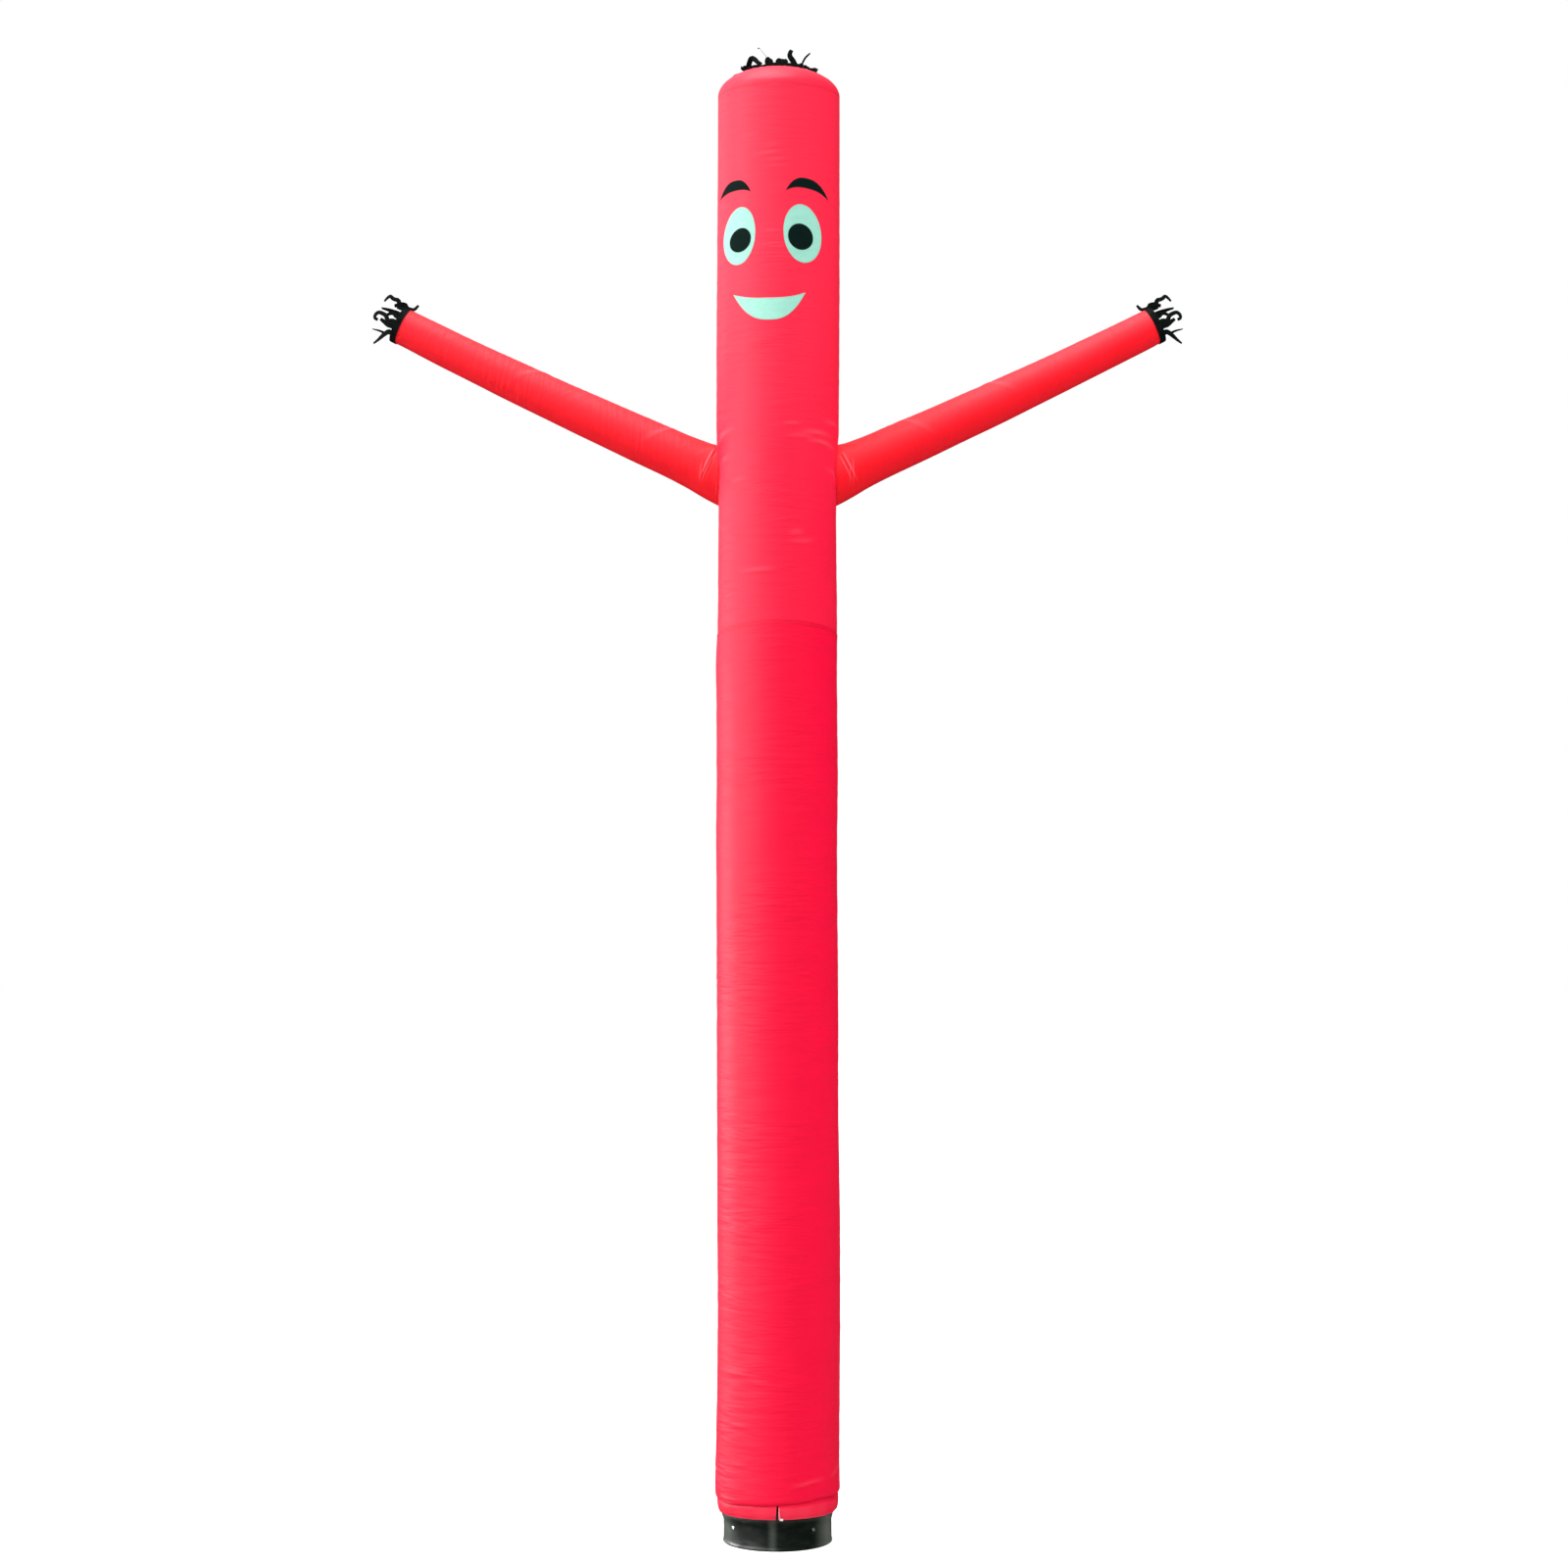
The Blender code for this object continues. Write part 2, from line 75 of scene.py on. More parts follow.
def build_camera():
    lens = bpy.data.cameras.new("portrait_camera")
    lens.sensor_width = 36.0
    lens.lens = lens.sensor_width * -CAMERA_AT.y / PICTURE_WIDTH
    lens.shift_y = 0.06
    camera = put_in_scene("portrait_camera", lens)
    camera.location = CAMERA_AT
    camera.rotation_euler = (math.radians(90), 0, 0)
    bpy.context.scene.camera = camera
    return lens


print("lens, mm:", round(build_camera().lens, 1))

# %% [markdown]
# ## Writing a finish
#
# A finish is a small sum: cloth colour, plus threads, plus stitches. Written as Python expressions it
# stays readable. `Value` wraps one socket and lets +, - and * add the Math nodes; `Finish.node` adds
# any other node.


# %% Shader arithmetic
class Value:
    """A socket of a finish that Python's arithmetic works on."""

    def __init__(self, finish, socket):
        self.finish = finish
        self.socket = socket

    def math(self, operation, *terms):
        return self.finish.node("ShaderNodeMath", {"operation": operation}, dict(enumerate(terms)))

    def __add__(self, other):
        return self.math("ADD", self, other)

    def __sub__(self, other):
        return self.math("SUBTRACT", self, other)

    def __mul__(self, other):
        return self.math("MULTIPLY", self, other)

    def __radd__(self, other):
        return self.math("ADD", other, self)

    def __rsub__(self, other):
        return self.math("SUBTRACT", other, self)

    def wave(self, pitch):
        """Rises and falls between 0 and 1 once in each pitch."""
        return self.math("SINE", self * (math.tau / pitch)) * 0.5 + 0.5

    def soften(self, low, high, start, end):
        """Goes softly from `start` to `end` while the value climbs between two others."""
        return self.finish.node(
            "ShaderNodeMapRange",
            {"interpolation_type": "SMOOTHSTEP"},
            {"Value": self, 1: low, 2: high, 3: start, 4: end},
        )

    def ramp(self, low, high):
        """Climbs softly from 0 to 1 between two values."""
        return self.soften(low, high, 0.0, 1.0)

    def near(self, place, reach):
        """1 at a place, falling softly to 0 at a reach to either side."""
        return self.math("ABSOLUTE", self - place).soften(0.0, reach, 1.0, 0.0)


class Finish:
    """One material under construction."""

    def __init__(self, name):
        self.material = bpy.data.materials.new(name)
        self.material.use_nodes = True
        self.tree = self.material.node_tree
        self.shader = self.tree.nodes["Principled BSDF"]

    def node(self, kind, settings, inputs, output=0):
        made = self.tree.nodes.new(kind)
        for name, setting in settings.items():
            setattr(made, name, setting)
        for place, term in inputs.items():
            self.plug(made.inputs[place], term)
        return Value(self, made.outputs[output])

    def plug(self, socket, term):
        if isinstance(term, Value):
            self.tree.links.new(term.socket, socket)
        else:
            socket.default_value = term

    def set(self, **terms):
        """Sets the shader's own sockets: `base_color` stands for Base Color, and so on."""
        for name, term in terms.items():
            self.plug(self.shader.inputs[name.replace("_", " ").title().replace("Ior", "IOR")], term)

    def mix(self, share, first, second):
        """A blend of two colours."""
        return self.node(
            "ShaderNodeMix", {"data_type": "RGBA"}, {0: share, 6: first, 7: second}, output=2
        )

    def cloth_place(self, layer):
        """The across and along places of a point on its flat cut, in metres."""
        flat = self.node("ShaderNodeUVMap", {"uv_map": layer}, {})
        split = [
            self.node("ShaderNodeSeparateXYZ", {}, {0: flat}, output=axis) for axis in (0, 1)
        ]
        return flat, *split

    def object_place(self):
        return self.node("ShaderNodeTexCoord", {}, {}, output="Object")

    def noise(self, place, scale, detail=3.0, roughness=0.55):
        return self.node(
            "ShaderNodeTexNoise",
            {},
            {"Vector": place, "Scale": scale, "Detail": detail, "Roughness": roughness},
        )

    def grain(self, flat, across, along, detail=2.0, roughness=0.55):
        """Noise on the flat cut that repeats at its own rate, per metre, across and along."""
        scaled = {"Vector": flat, "Scale": (across, along, 1.0)}
        return self.noise(self.node("ShaderNodeMapping", {}, scaled), 1.0, detail, roughness)

    def emboss(self, height):
        """Turns a height in metres into relief."""
        bump = {"Strength": 1.0, "Distance": 1.0, "Height": height}
        self.set(normal=self.node("ShaderNodeBump", {}, bump))


def opaque(colour, factor=1.0):
    return (*(channel * factor for channel in colour), 1.0)


def grey(shade):
    return opaque((shade, shade, shade))


print("shader arithmetic ready")

# %% [markdown]
# ## Light
#
# Thin red nylon loses its shape under flat light, so a tall soft lamp stands at the left, with a weaker
# one behind it, and another fills from the front right. The four sheen lamps only show in the gloss:
# they draw the pale bands down the left side of the tube and along the tops of the sleeves. The sky
# does the rest, mostly from above. The floor is a plain pale disc.

# %% Lights, sky and floor
Lamp = namedtuple("Lamp", "place width height power lights shines")
LAMPS = {
    "key_left": Lamp((-16.4, -4.4, 11.0), 6.0, 10.0, 3200, True, True),
    "rim_left": Lamp((-13.9, 9.7, 11.0), 6.0, 10.0, 700, True, True),
    "sheen_left": Lamp((-15.8, 4.0, 1.9), 9.0, 3.6, 2900, False, True),
    "sheen_front": Lamp((-12.4, -9.0, 3.2), 8.0, 2.2, 2100, False, True),
    "sheen_near": Lamp((-5.2, -14.0, 5.5), 8.0, 2.2, 480, False, True),
    "sheen_top": Lamp((-2.0, -1.6, 12.0), 6.0, 6.0, 1800, False, True),
    "fill_right": Lamp((13.0, -11.0, 10.0), 8.0, 10.0, 2550, True, False),
}
AIM = Vector((0, 0, 3.0))
SKY_DIM = 0.02
SKY_BRIGHT = 1.60
SKY_TOWARDS = (-0.50, -0.12, 0.86)  # the brightest part of the sky
FLOOR_RADIUS = 60.0


def build_lamp(name, lamp):
    light = bpy.data.lights.new(name, "AREA")
    light.shape = "RECTANGLE"
    light.size = lamp.width
    light.size_y = lamp.height
    light.energy = lamp.power
    stand = put_in_scene(name, light)
    stand.location = lamp.place
    stand.rotation_euler = (AIM - Vector(lamp.place)).to_track_quat("-Z", "Y").to_euler()
    stand.visible_diffuse = lamp.lights
    stand.visible_glossy = lamp.shines
    stand.visible_camera = False


def build_sky():
    """The sky is plain white to the eye, but its light is strongest from one side and above."""
    sky = bpy.data.worlds.new("studio_sky")
    sky.use_nodes = True
    tree = sky.node_tree
    tree.nodes.clear()
    seen, lighting = (tree.nodes.new("ShaderNodeBackground") for _ in range(2))
    for light in (seen, lighting):
        light.inputs["Color"].default_value = grey(1.0)
    place = tree.nodes.new("ShaderNodeTexCoord")
    facing = tree.nodes.new("ShaderNodeVectorMath")
    facing.operation = "DOT_PRODUCT"
    facing.inputs[1].default_value = SKY_TOWARDS
    strength = tree.nodes.new("ShaderNodeMapRange")
    strength.inputs["To Min"].default_value = SKY_DIM
    strength.inputs["To Max"].default_value = SKY_DIM + SKY_BRIGHT
    tree.links.new(place.outputs["Generated"], facing.inputs[0])
    tree.links.new(facing.outputs["Value"], strength.inputs["Value"])
    tree.links.new(strength.outputs["Result"], lighting.inputs["Strength"])
    path = tree.nodes.new("ShaderNodeLightPath")
    mix = tree.nodes.new("ShaderNodeMixShader")
    tree.links.new(path.outputs["Is Camera Ray"], mix.inputs[0])
    tree.links.new(lighting.outputs[0], mix.inputs[1])
    tree.links.new(seen.outputs[0], mix.inputs[2])
    tree.links.new(mix.outputs[0], tree.nodes.new("ShaderNodeOutputWorld").inputs["Surface"])
    bpy.context.scene.world = sky


def floor_finish():
    """Pale to the eye, so that it runs into the sky, and darker to the light that it would throw up."""
    finish = Finish("floor_paint")
    seen = finish.node("ShaderNodeLightPath", {}, {}, output="Is Camera Ray")
    finish.set(
        base_color=finish.mix(seen, grey(0.45), grey(0.86)),
        emission_color=finish.mix(seen, grey(0.0), grey(0.46)),
        emission_strength=1.0,
        roughness=0.9,
        specular_ior_level=0.0,
    )
    return finish.material


def build_floor(radius):
    bm = bmesh.new()
    bmesh.ops.create_circle(bm, cap_ends=True, segments=96, radius=radius)
    mesh = bpy.data.meshes.new("floor")
    bm.to_mesh(mesh)
    bm.free()
    mesh.materials.append(floor_finish())
    floor = put_in_scene("floor", mesh)
    floor.visible_glossy = False


for name, lamp in LAMPS.items():
    build_lamp(name, lamp)
build_sky()
build_floor(FLOOR_RADIUS)
bpy.context.scene.view_settings.view_transform = "Standard"
print("lamps:", len(LAMPS))

# %% [markdown]
# ## Coated nylon
#
# The tube is plain-woven nylon with a thin coat. What the eye meets is a soft sheen, shallow puckers
# that run round the tube where the cloth is slack, and a colour that is deeper where the light does
# not rake it. The threads are far finer than the puckers and only break up the gloss. All of it
# is laid out on the flat cut, so it follows each piece wherever it bends. Rows of stitches go in
# here too: a seam is one or two needle rows, mostly on a doubled edge that stands a little higher.

# %% Nylon finish
RED = (0.81, 0.0020, 0.0375)
UPPER_RED = (0.82, 0.0082, 0.044)
# the cap's red, paled by a painted sheen; the upper panel is mixed towards it near the head
CAP_RED_WITH_PAINTED_SHEEN = (0.83, 0.0190, 0.055)
SLEEVE_RED = (0.93, 0.009, 0.020)
PAINTED_SHEEN = (1.0, 0.28, 0.36, 1)  # painted sheen: the paler colour that crests, edges and sleeve tops are mixed towards
THREAD_PITCH = 0.0011
STITCH_PITCH = 0.0042
STITCH_WIDTH = 0.0011
THREAD_RISE = 0.000012
EVEN_PUCKER_RISE = 0.0016
SLACK_PUCKER_RISE = 0.0052
STITCH_RISE = 0.0005
DOUBLED_RISE = 0.0007
BEFORE_START, PAST_END = -0.1, 9.0  # places along that no panel reaches
Seam = namedtuple("Seam", "rows edge_from edge_to", defaults=(None, None))


def weave(across, along):
    return across.wave(THREAD_PITCH) + along.wave(THREAD_PITCH)


def stitches_at(row, from_edge, run):
    """A broken line of thread at a distance from an edge, running along it."""
    return from_edge.near(row, STITCH_WIDTH) * run.wave(STITCH_PITCH).ramp(0.25, 0.5)


def doubled_at(seam, along):
    """1 on the band where a seam has a second layer of cloth under it."""
    starts = along.ramp(seam.edge_from, seam.edge_from + 0.002)
    return starts * (1.0 - along.ramp(seam.edge_to, seam.edge_to + 0.002))


def shade_sleeve(finish, colour, shade, coat, across):
    """A painted sheen pales a sleeve's top, and painted shade makes its smoother underside a deeper red.
    """
    from_top = across * across
    over = 1.0 - from_top.ramp(0.0, 0.0300)
    under = from_top.ramp(0.008, 0.050)
    # painted sheen along the top of the sleeve
    shade = finish.mix(over * 0.11, shade, PAINTED_SHEEN)
    # painted shade on the sleeve's underside
    shade = finish.mix(under * 0.8, shade, opaque(colour, 0.80))
    return shade, coat - under * 0.16


def nylon(
    name, colour, seams, slackness=1.0, painted_highlight=0.13, painted_shade_at=None, taut=PAST_END, sleeve=False, fade=None
):
    finish = Finish(name)
    flat, across, along = finish.cloth_place("cut")
    _, highlight_amount, _ = finish.cloth_place("painted_highlight")
    threads = weave(across, along)
    puckers = finish.grain(flat, 7.0, 46.0)
    slack = finish.grain(flat, 2.2, 3.1, 1.0).ramp(0.35, 0.7)
    slack = slack * (1.0 - along.ramp(taut, taut + 0.25) * 0.65)
    blotches = finish.grain(flat, 5.0, 9.0, 4.0)
    height = puckers * (slack * (SLACK_PUCKER_RISE * slackness) + EVEN_PUCKER_RISE)
    height = height + threads * THREAD_RISE
    stitches = 0.0
    doubled = 0.0
    for seam in seams:
        for row in seam.rows:
            stitches = stitches_at(row, along, across) + stitches
        if seam.edge_from is not None:
            doubled = doubled_at(seam, along) + doubled
    height = height + stitches * STITCH_RISE + doubled * DOUBLED_RISE
    shade = finish.mix(blotches.ramp(0.3, 0.75) * 0.35, opaque(colour), opaque(colour, 0.86))
    if fade is not None:  # painted sheen: the cloth is paler towards the head
        shade = finish.mix(along.ramp(*fade), shade, opaque(CAP_RED_WITH_PAINTED_SHEEN))
    shade = finish.mix(doubled * 0.3, shade, opaque(colour, 0.72))
    shade = finish.mix(stitches * 0.5, shade, opaque(colour, 0.55))
    # painted highlight: paler where the layer says, on crests, the hem, the slit's roll and sleeve folds
    shade = finish.mix(highlight_amount * painted_highlight, shade, PAINTED_SHEEN)
    if painted_shade_at is not None:  # painted shade where the cloth is tucked in
        shade = finish.mix(along.near(painted_shade_at, 0.007) * 0.4, shade, opaque(colour, 0.40))
    coat = puckers * 0.12 + 0.48
    if sleeve:
        shade, coat = shade_sleeve(finish, colour, shade, coat, across)
    finish.set(base_color=shade, roughness=coat, specular_ior_level=0.07 if sleeve else 0.13)
    finish.emboss(height)
    return finish.material


print("nylon finish ready")

# %% [markdown]
# ## Curves, ramps and ridges
#
# Long shapes come from a few rows of a table, and a cubic through the rows keeps them free of corners.
# `climb` fades one shape into the next, and `ridge` is what a crease or a fold looks like across.


# %% Curves, ramps and ridges
def climb(value, low, high):
    """Rises evenly from 0 to 1 between two values."""
    return min(max((value - low) / (high - low), 0.0), 1.0)


def ridge(off):
    """A ridge with a shallow trough beside it, `off` widths away from its top."""
    return math.exp(-off * off) - 0.6 * math.exp(-((off + 1.7) ** 2))


def through(rows, place):
    """The row at a place, on a smooth curve through rows whose first value is their own place."""
    last = len(rows) - 1
    index = 0
    while index < last - 1 and rows[index + 1][0] < place:
        index += 1
    low, high = rows[index], rows[index + 1]
    before, after = rows[max(index - 1, 0)], rows[min(index + 2, last)]
    span = high[0] - low[0]
    t = climb(place, low[0], high[0])
    found = []
    for column in range(1, len(low)):
        rise_low = (high[column] - before[column]) / (high[0] - before[0]) * span
        rise_high = (after[column] - low[column]) / (after[0] - low[0]) * span
        found.append(
            low[column] * (1 + 2 * t) * (1 - t) ** 2
            + rise_low * t * (1 - t) ** 2
            + high[column] * t * t * (3 - 2 * t)
            - rise_high * t * t * (1 - t)
        )
    return found


def round_the_body(radius, angle, height):
    return Vector((radius * math.sin(angle), -radius * math.cos(angle), height))


def with_lengths(profile):
    """Puts in front of each profile row how much cloth lies between it and the first one."""
    rows, length, last = [], 0.0, None
    for row in profile:
        if last:
            length += math.hypot(row.radius - last.radius, row.height - last.height)
        rows.append((length, *row))
        last = row
    return rows


print("halfway up a ramp:", climb(0.5, 0.0, 1.0))

# %% [markdown]
# ## The shape of blown-up cloth
#
# Air pressure makes the tube nearly round, but not quite: it swells between its seams, puckers where
# the cloth is slack and keeps a few long creases where the arms and the hem pull on it. One function
# gives that relief for any spot of the body, so the panels, the cap and the face patches all agree.

# %% Relief of the body
BODY_RADIUS = 0.248
SIDE_SWELL = 0.0022
PUCKER = 0.0010
TAUT_HEAD = 5.45  # above this height the cloth is blown up tight
CREASE_BAND = 0.11  # no crease rises or falls by more than this
FULL_HIGHLIGHT_LIFT = 0.0045  # a crest this high gets the full painted highlight
RIDGE_ENDS = 4  # widths from its top at which a ridge has run out

# The front is at 0 degrees and the right side at 90. A crease is a ridge with a shallow trough under
# it. It is `reach` long to either side of its middle, rises by `tilt` for each metre and bends by `bow`.
Crease = namedtuple("Crease", "degrees height reach tilt bow width depth")
CREASES = table(Crease, (
    # across the chest, above the sleeves
    (40, 4.490, 0.110, -0.05, -0.9, 0.010, 0.0036),
    (14, 4.519, 0.050, 0.02, 0.0, 0.008, 0.0024),
    (22, 4.472, 0.085, 0.03, -0.4, 0.008, 0.0028),
    (50, 4.452, 0.110, -0.16, -1.4, 0.009, 0.0044),
    (62, 4.536, 0.070, -0.10, -1.0, 0.010, 0.0030),
    (-63, 4.486, 0.100, 0.42, -1.6, 0.011, 0.0052),
    (-40, 4.303, 0.060, 0.02, 0.0, 0.009, 0.0022),
    (-62, 4.395, 0.060, 0.35, -1.0, 0.009, 0.0022),
    (66, 4.340, 0.070, -0.30, -1.0, 0.010, 0.0022),
    (140, 4.500, 0.140, 0.10, -0.9, 0.011, 0.0036),
    (-150, 4.470, 0.130, -0.08, -0.8, 0.010, 0.0034),
    (178, 4.430, 0.120, 0.03, 0.5, 0.009, 0.0026),
    # below the sleeves
    (18, 4.086, 0.045, 0.05, -2.5, 0.013, 0.0030),
    (25, 4.050, 0.080, 0.06, 1.4, 0.010, 0.0024),
    (-20, 3.931, 0.110, 0.02, -0.3, 0.010, 0.0026),
    (-70, 4.120, 0.080, -0.25, 0.0, 0.011, 0.0020),
    (120, 4.000, 0.120, -0.10, 0.4, 0.012, 0.0026),
    (-125, 3.900, 0.120, 0.08, -0.4, 0.012, 0.0026),
    # the forehead and between the eyes
    (-6, 5.629, 0.060, 0.10, -0.3, 0.008, 0.0012),
    (-10, 5.598, 0.080, 0.08, -0.3, 0.008, 0.0015),
    (0, 5.572, 0.060, 0.06, 0.0, 0.007, 0.0013),
    (-1, 5.548, 0.065, 0.04, 0.0, 0.007, 0.0012),
    (-26, 5.676, 0.060, 0.08, 0.0, 0.009, 0.0008),
    (-5, 5.287, 0.045, 0.02, 0.0, 0.006, 0.0022),
    # the lower tube
    (-41, 0.709, 0.080, 0.02, -0.2, 0.009, 0.0030),
    (-20, 0.681, 0.070, -0.10, 0.0, 0.008, 0.0016),
    (-38, 0.501, 0.060, 0.03, 0.0, 0.009, 0.0026),
    (-40, 0.344, 0.050, 0.04, 0.0, 0.009, 0.0022),
    (-55, 0.199, 0.060, -0.04, 0.6, 0.006, 0.0050),
    (-78, 0.304, 0.070, -0.20, 1.0, 0.009, 0.0034),
    (-74, 0.262, 0.080, -0.25, 1.4, 0.008, 0.0034),
    (30, 0.272, 0.100, 0.12, -0.4, 0.009, 0.0026),
    (70, 0.300, 0.080, 0.30, -0.6, 0.009, 0.0026),
    (150, 0.300, 0.140, -0.10, 0.5, 0.010, 0.0032),
    (-140, 0.330, 0.120, 0.12, -0.5, 0.010, 0.0030),
    (110, 1.650, 0.100, 0.05, 0.3, 0.012, 0.0022),
    (-100, 2.300, 0.120, -0.05, 0.3, 0.012, 0.0022),
))


def crease_lift(crease, angle, height):
    turn = (angle - math.radians(crease.degrees) + math.pi) % math.tau - math.pi
    run = turn * BODY_RADIUS
    if abs(run) >= crease.reach:
        return 0.0
    off = (height - crease.height - crease.tilt * run - crease.bow * run * run) / crease.width
    if abs(off) > RIDGE_ENDS:
        return 0.0
    return crease.depth * (1 - (run / crease.reach) ** 2) ** 2 * ridge(off)


# The tube is never quite straight or even: (height, lean to the right, swell) along it.
LEAN = (
    (0.00, 0.0, 0.0), (0.25, 0.0, 0.0), (0.40, 0.0010, 0.0), (0.55, 0.0024, 0.0), (0.72, 0.0038, 0.0),
    (1.00, 0.0054, 0.0008), (1.30, 0.0046, 0.0012), (1.50, 0.0022, 0.0008), (1.70, 0.0004, 0.0004),
    (2.10, -0.0010, 0.0), (2.50, -0.0028, 0.0), (2.75, -0.0038, 0.0), (2.95, -0.0026, 0.0),
    (3.10, -0.0006, 0.0), (3.25, -0.0020, 0.0), (3.45, -0.0034, 0.0), (3.57, -0.0048, 0.0008),
    (3.73, -0.0010, -0.0006), (4.05, -0.0016, 0.0), (4.55, -0.0008, 0.0012), (4.85, 0.0008, 0.0020),
    (5.10, 0.0028, 0.0026), (5.35, 0.0038, 0.0020), (5.60, 0.0044, 0.0002), (6.10, 0.0048, 0.0),
)


def creases_near(height):
    return [crease for crease in CREASES if abs(height - crease.height) < CREASE_BAND]


def body_highlights(angle, height):
    """How much painted highlight the body's cloth gets, on the crests of its creases."""
    crests = (max(crease_lift(crease, angle, height), 0.0) for crease in creases_near(height))
    return sum(crests) / FULL_HIGHLIGHT_LIFT


def relief(angle, height):
    """How far the cloth stands out from, or in of, its plain round tube."""
    x, y = math.sin(angle), -math.cos(angle)
    swell = noise.noise(Vector((x * 1.3, y * 1.3, height * 1.9)))
    pucker = noise.noise(Vector((x * 2.6 + 9, y * 2.6, height * 26)))
    loose = 1.0 - 0.65 * climb(height, TAUT_HEAD, TAUT_HEAD + 0.15)
    lean, fat = through(LEAN, height)
    lift = SIDE_SWELL * swell + PUCKER * loose * pucker + lean * x + fat
    return lift + sum(crease_lift(crease, angle, height) for crease in creases_near(height))


print("creases laid by hand:", len(CREASES))

# %% [markdown]
# ## Cutting and rolling a panel
#
# A panel starts flat, as on the cutting table, and its UV map keeps those flat places in metres for
# the finish to use. Rolling it is then one formula for where each spot of the flat cloth goes. The two
# side edges meet at the back, where the real tube is sewn up.

# %% Flat panels
CLOTH = 0.001  # thickness


def cut_panel(width, length, columns, rows):
    """A flat panel, centred across and starting at 0 along, with its flat places as UV."""
    bm = bmesh.new()
    bmesh.ops.create_grid(bm, x_segments=columns, y_segments=rows, size=0.5)
    bmesh.ops.translate(bm, vec=(0, 0.5, 0), verts=bm.verts)
    bmesh.ops.scale(bm, vec=(width, length, 1), verts=bm.verts)
    keep_flat_places(bm)
    return bm


def lay_uv(bm, layer, place_of):
    """Fills a UV map with what `place_of(vert)` says."""
    uv = bm.loops.layers.uv.get(layer) or bm.loops.layers.uv.new(layer)
    places = {vert: place_of(vert) for vert in bm.verts}
    for face in bm.faces:
        for loop in face.loops:
            loop[uv].uv = places[loop.vert]


def keep_flat_places(bm):
    lay_uv(bm, "cut", lambda vert: vert.co.xy)


def shape(bm, place):
    """Moves every spot of a flat panel to where `place(across, along)` says."""
    for vert in bm.verts:
        vert.co = place(vert.co.x, vert.co.y)


def lay_highlight_shares(bm, worn):
    """Notes how much painted highlight each spot of a flat panel gets, from 0 to 1, for the finish to
    read.
    """
    lay_uv(bm, "painted_highlight", lambda vert: (min(worn(vert.co.x, vert.co.y), 1.0), 0.0))


def join_edges(bm):
    """Sews together the edges of a rolled sheet that have met."""
    bmesh.ops.remove_doubles(bm, verts=bm.verts, dist=1e-5)


def mirror(bm):
    bmesh.ops.scale(bm, vec=(-1, 1, 1), verts=bm.verts)
    bmesh.ops.reverse_faces(bm, faces=bm.faces)


def add_to(bm, part):
    """Moves a finished sheet into a bigger piece."""
    moved = bpy.data.meshes.new("moved")
    part.to_mesh(moved)
    part.free()
    bm.from_mesh(moved)
    bpy.data.meshes.remove(moved)


def make_piece(name, bm, finish, thickness=0.0):
    """Turns a bmesh into a piece of the figure that rides with it."""
    for face in bm.faces:
        face.smooth = True
    for edge in bm.edges:  # a cut edge is square, so its shade doesn't run on to the cloth beside it
        edge.smooth = not edge.is_boundary
    mesh = bpy.data.meshes.new(name)
    bm.to_mesh(mesh)
    bm.free()
    piece = put_in_scene(name, mesh)
    mesh.materials.append(finish)
    if thickness:
        wall = piece.modifiers.new("cloth thickness", "SOLIDIFY")
        wall.thickness = thickness
        wall.offset = -1.0
    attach(piece, "root")
    print(name, "faces:", len(mesh.polygons))
    return piece

# %% [markdown]
# ## The lower panel
#
# A long panel from the hem to the waist seam. At the bottom it is hemmed and grips the blower's collar
# below a bead, so the cloth above bulges over a tight crease. A short slit at the front of the hem
# lets it stretch over the bead. The rows of the grid are closer near the hem, where the cloth turns
# most. At the top the panel laps over the upper one, along a seam that was cut a little on the slant.

# %% Lower panel
GIRTH = math.tau * BODY_RADIUS
SEAM_HEIGHT = 3.688
SEAM_TILT = 0.047
SEAM_LAP = 0.018
HEM_DEPTH = 0.050
HEM_ROWS_END = 0.110  # the rows of the grid are closer together up to here
GATHERS_END = 0.16
# The last three say how far a row goes along with the hem's, the crease's and the seam's own waviness.
LowerRow = namedtuple("LowerRow", "height radius hem crease seam")
LOWER_PROFILE = table(LowerRow, (
    (0.137, 0.2385, 1, 0, 0),
    (0.145, 0.2425, 1, 0, 0),
    (0.157, 0.2458, 1, 0, 0),
    (0.170, 0.2474, 0.8, 0.2, 0),
    (0.182, 0.2472, 0.3, 0.7, 0),
    (0.1895, 0.2440, 0, 1, 0),
    (0.1905, 0.2462, 0, 1, 0),
    (0.1930, 0.2500, 0, 1, 0),
    (0.2020, 0.2540, 0, 1, 0),
    (0.220, 0.2547, 0, 0.9, 0),
    (0.260, 0.2545, 0, 0.5, 0),
    (0.320, 0.2537, 0, 0.1, 0),
    (0.420, 0.2524, 0, 0, 0),
    (0.600, 0.2508, 0, 0, 0),
    (1.084, 0.2496, 0, 0, 0),
    (1.760, 0.2484, 0, 0, 0),
    (2.440, 0.2472, 0, 0, 0),
    (3.060, 0.2476, 0, 0, 0),
    (3.400, 0.2474, 0, 0, 0.2),
    (3.600, 0.2466, 0, 0, 0.8),
    (SEAM_HEIGHT, 0.2462, 0, 0, 1),
))
LOWER_ROWS = with_lengths(LOWER_PROFILE)
LOWER_LENGTH = LOWER_ROWS[-1][0]
CREASE_ALONG = LOWER_ROWS[5][0]
SLIT = (-0.0080, 0.0040)
SLIT_EASES_OUT = 0.08  # the columns are straight again this far above the crease


def hem_sway(angle):
    return -0.0078 + 0.0018 * math.cos(2 * angle) + 0.002 * math.sin(angle)


def crease_sway(angle):
    high_corner = 0.010 * math.exp(-(((angle - 0.72) / 0.35) ** 2))
    wavy = 0.002 * math.cos(4 * angle) + 0.0015 * math.sin(9 * angle)
    return 0.010 * math.sin(angle) + high_corner + wavy - 0.002


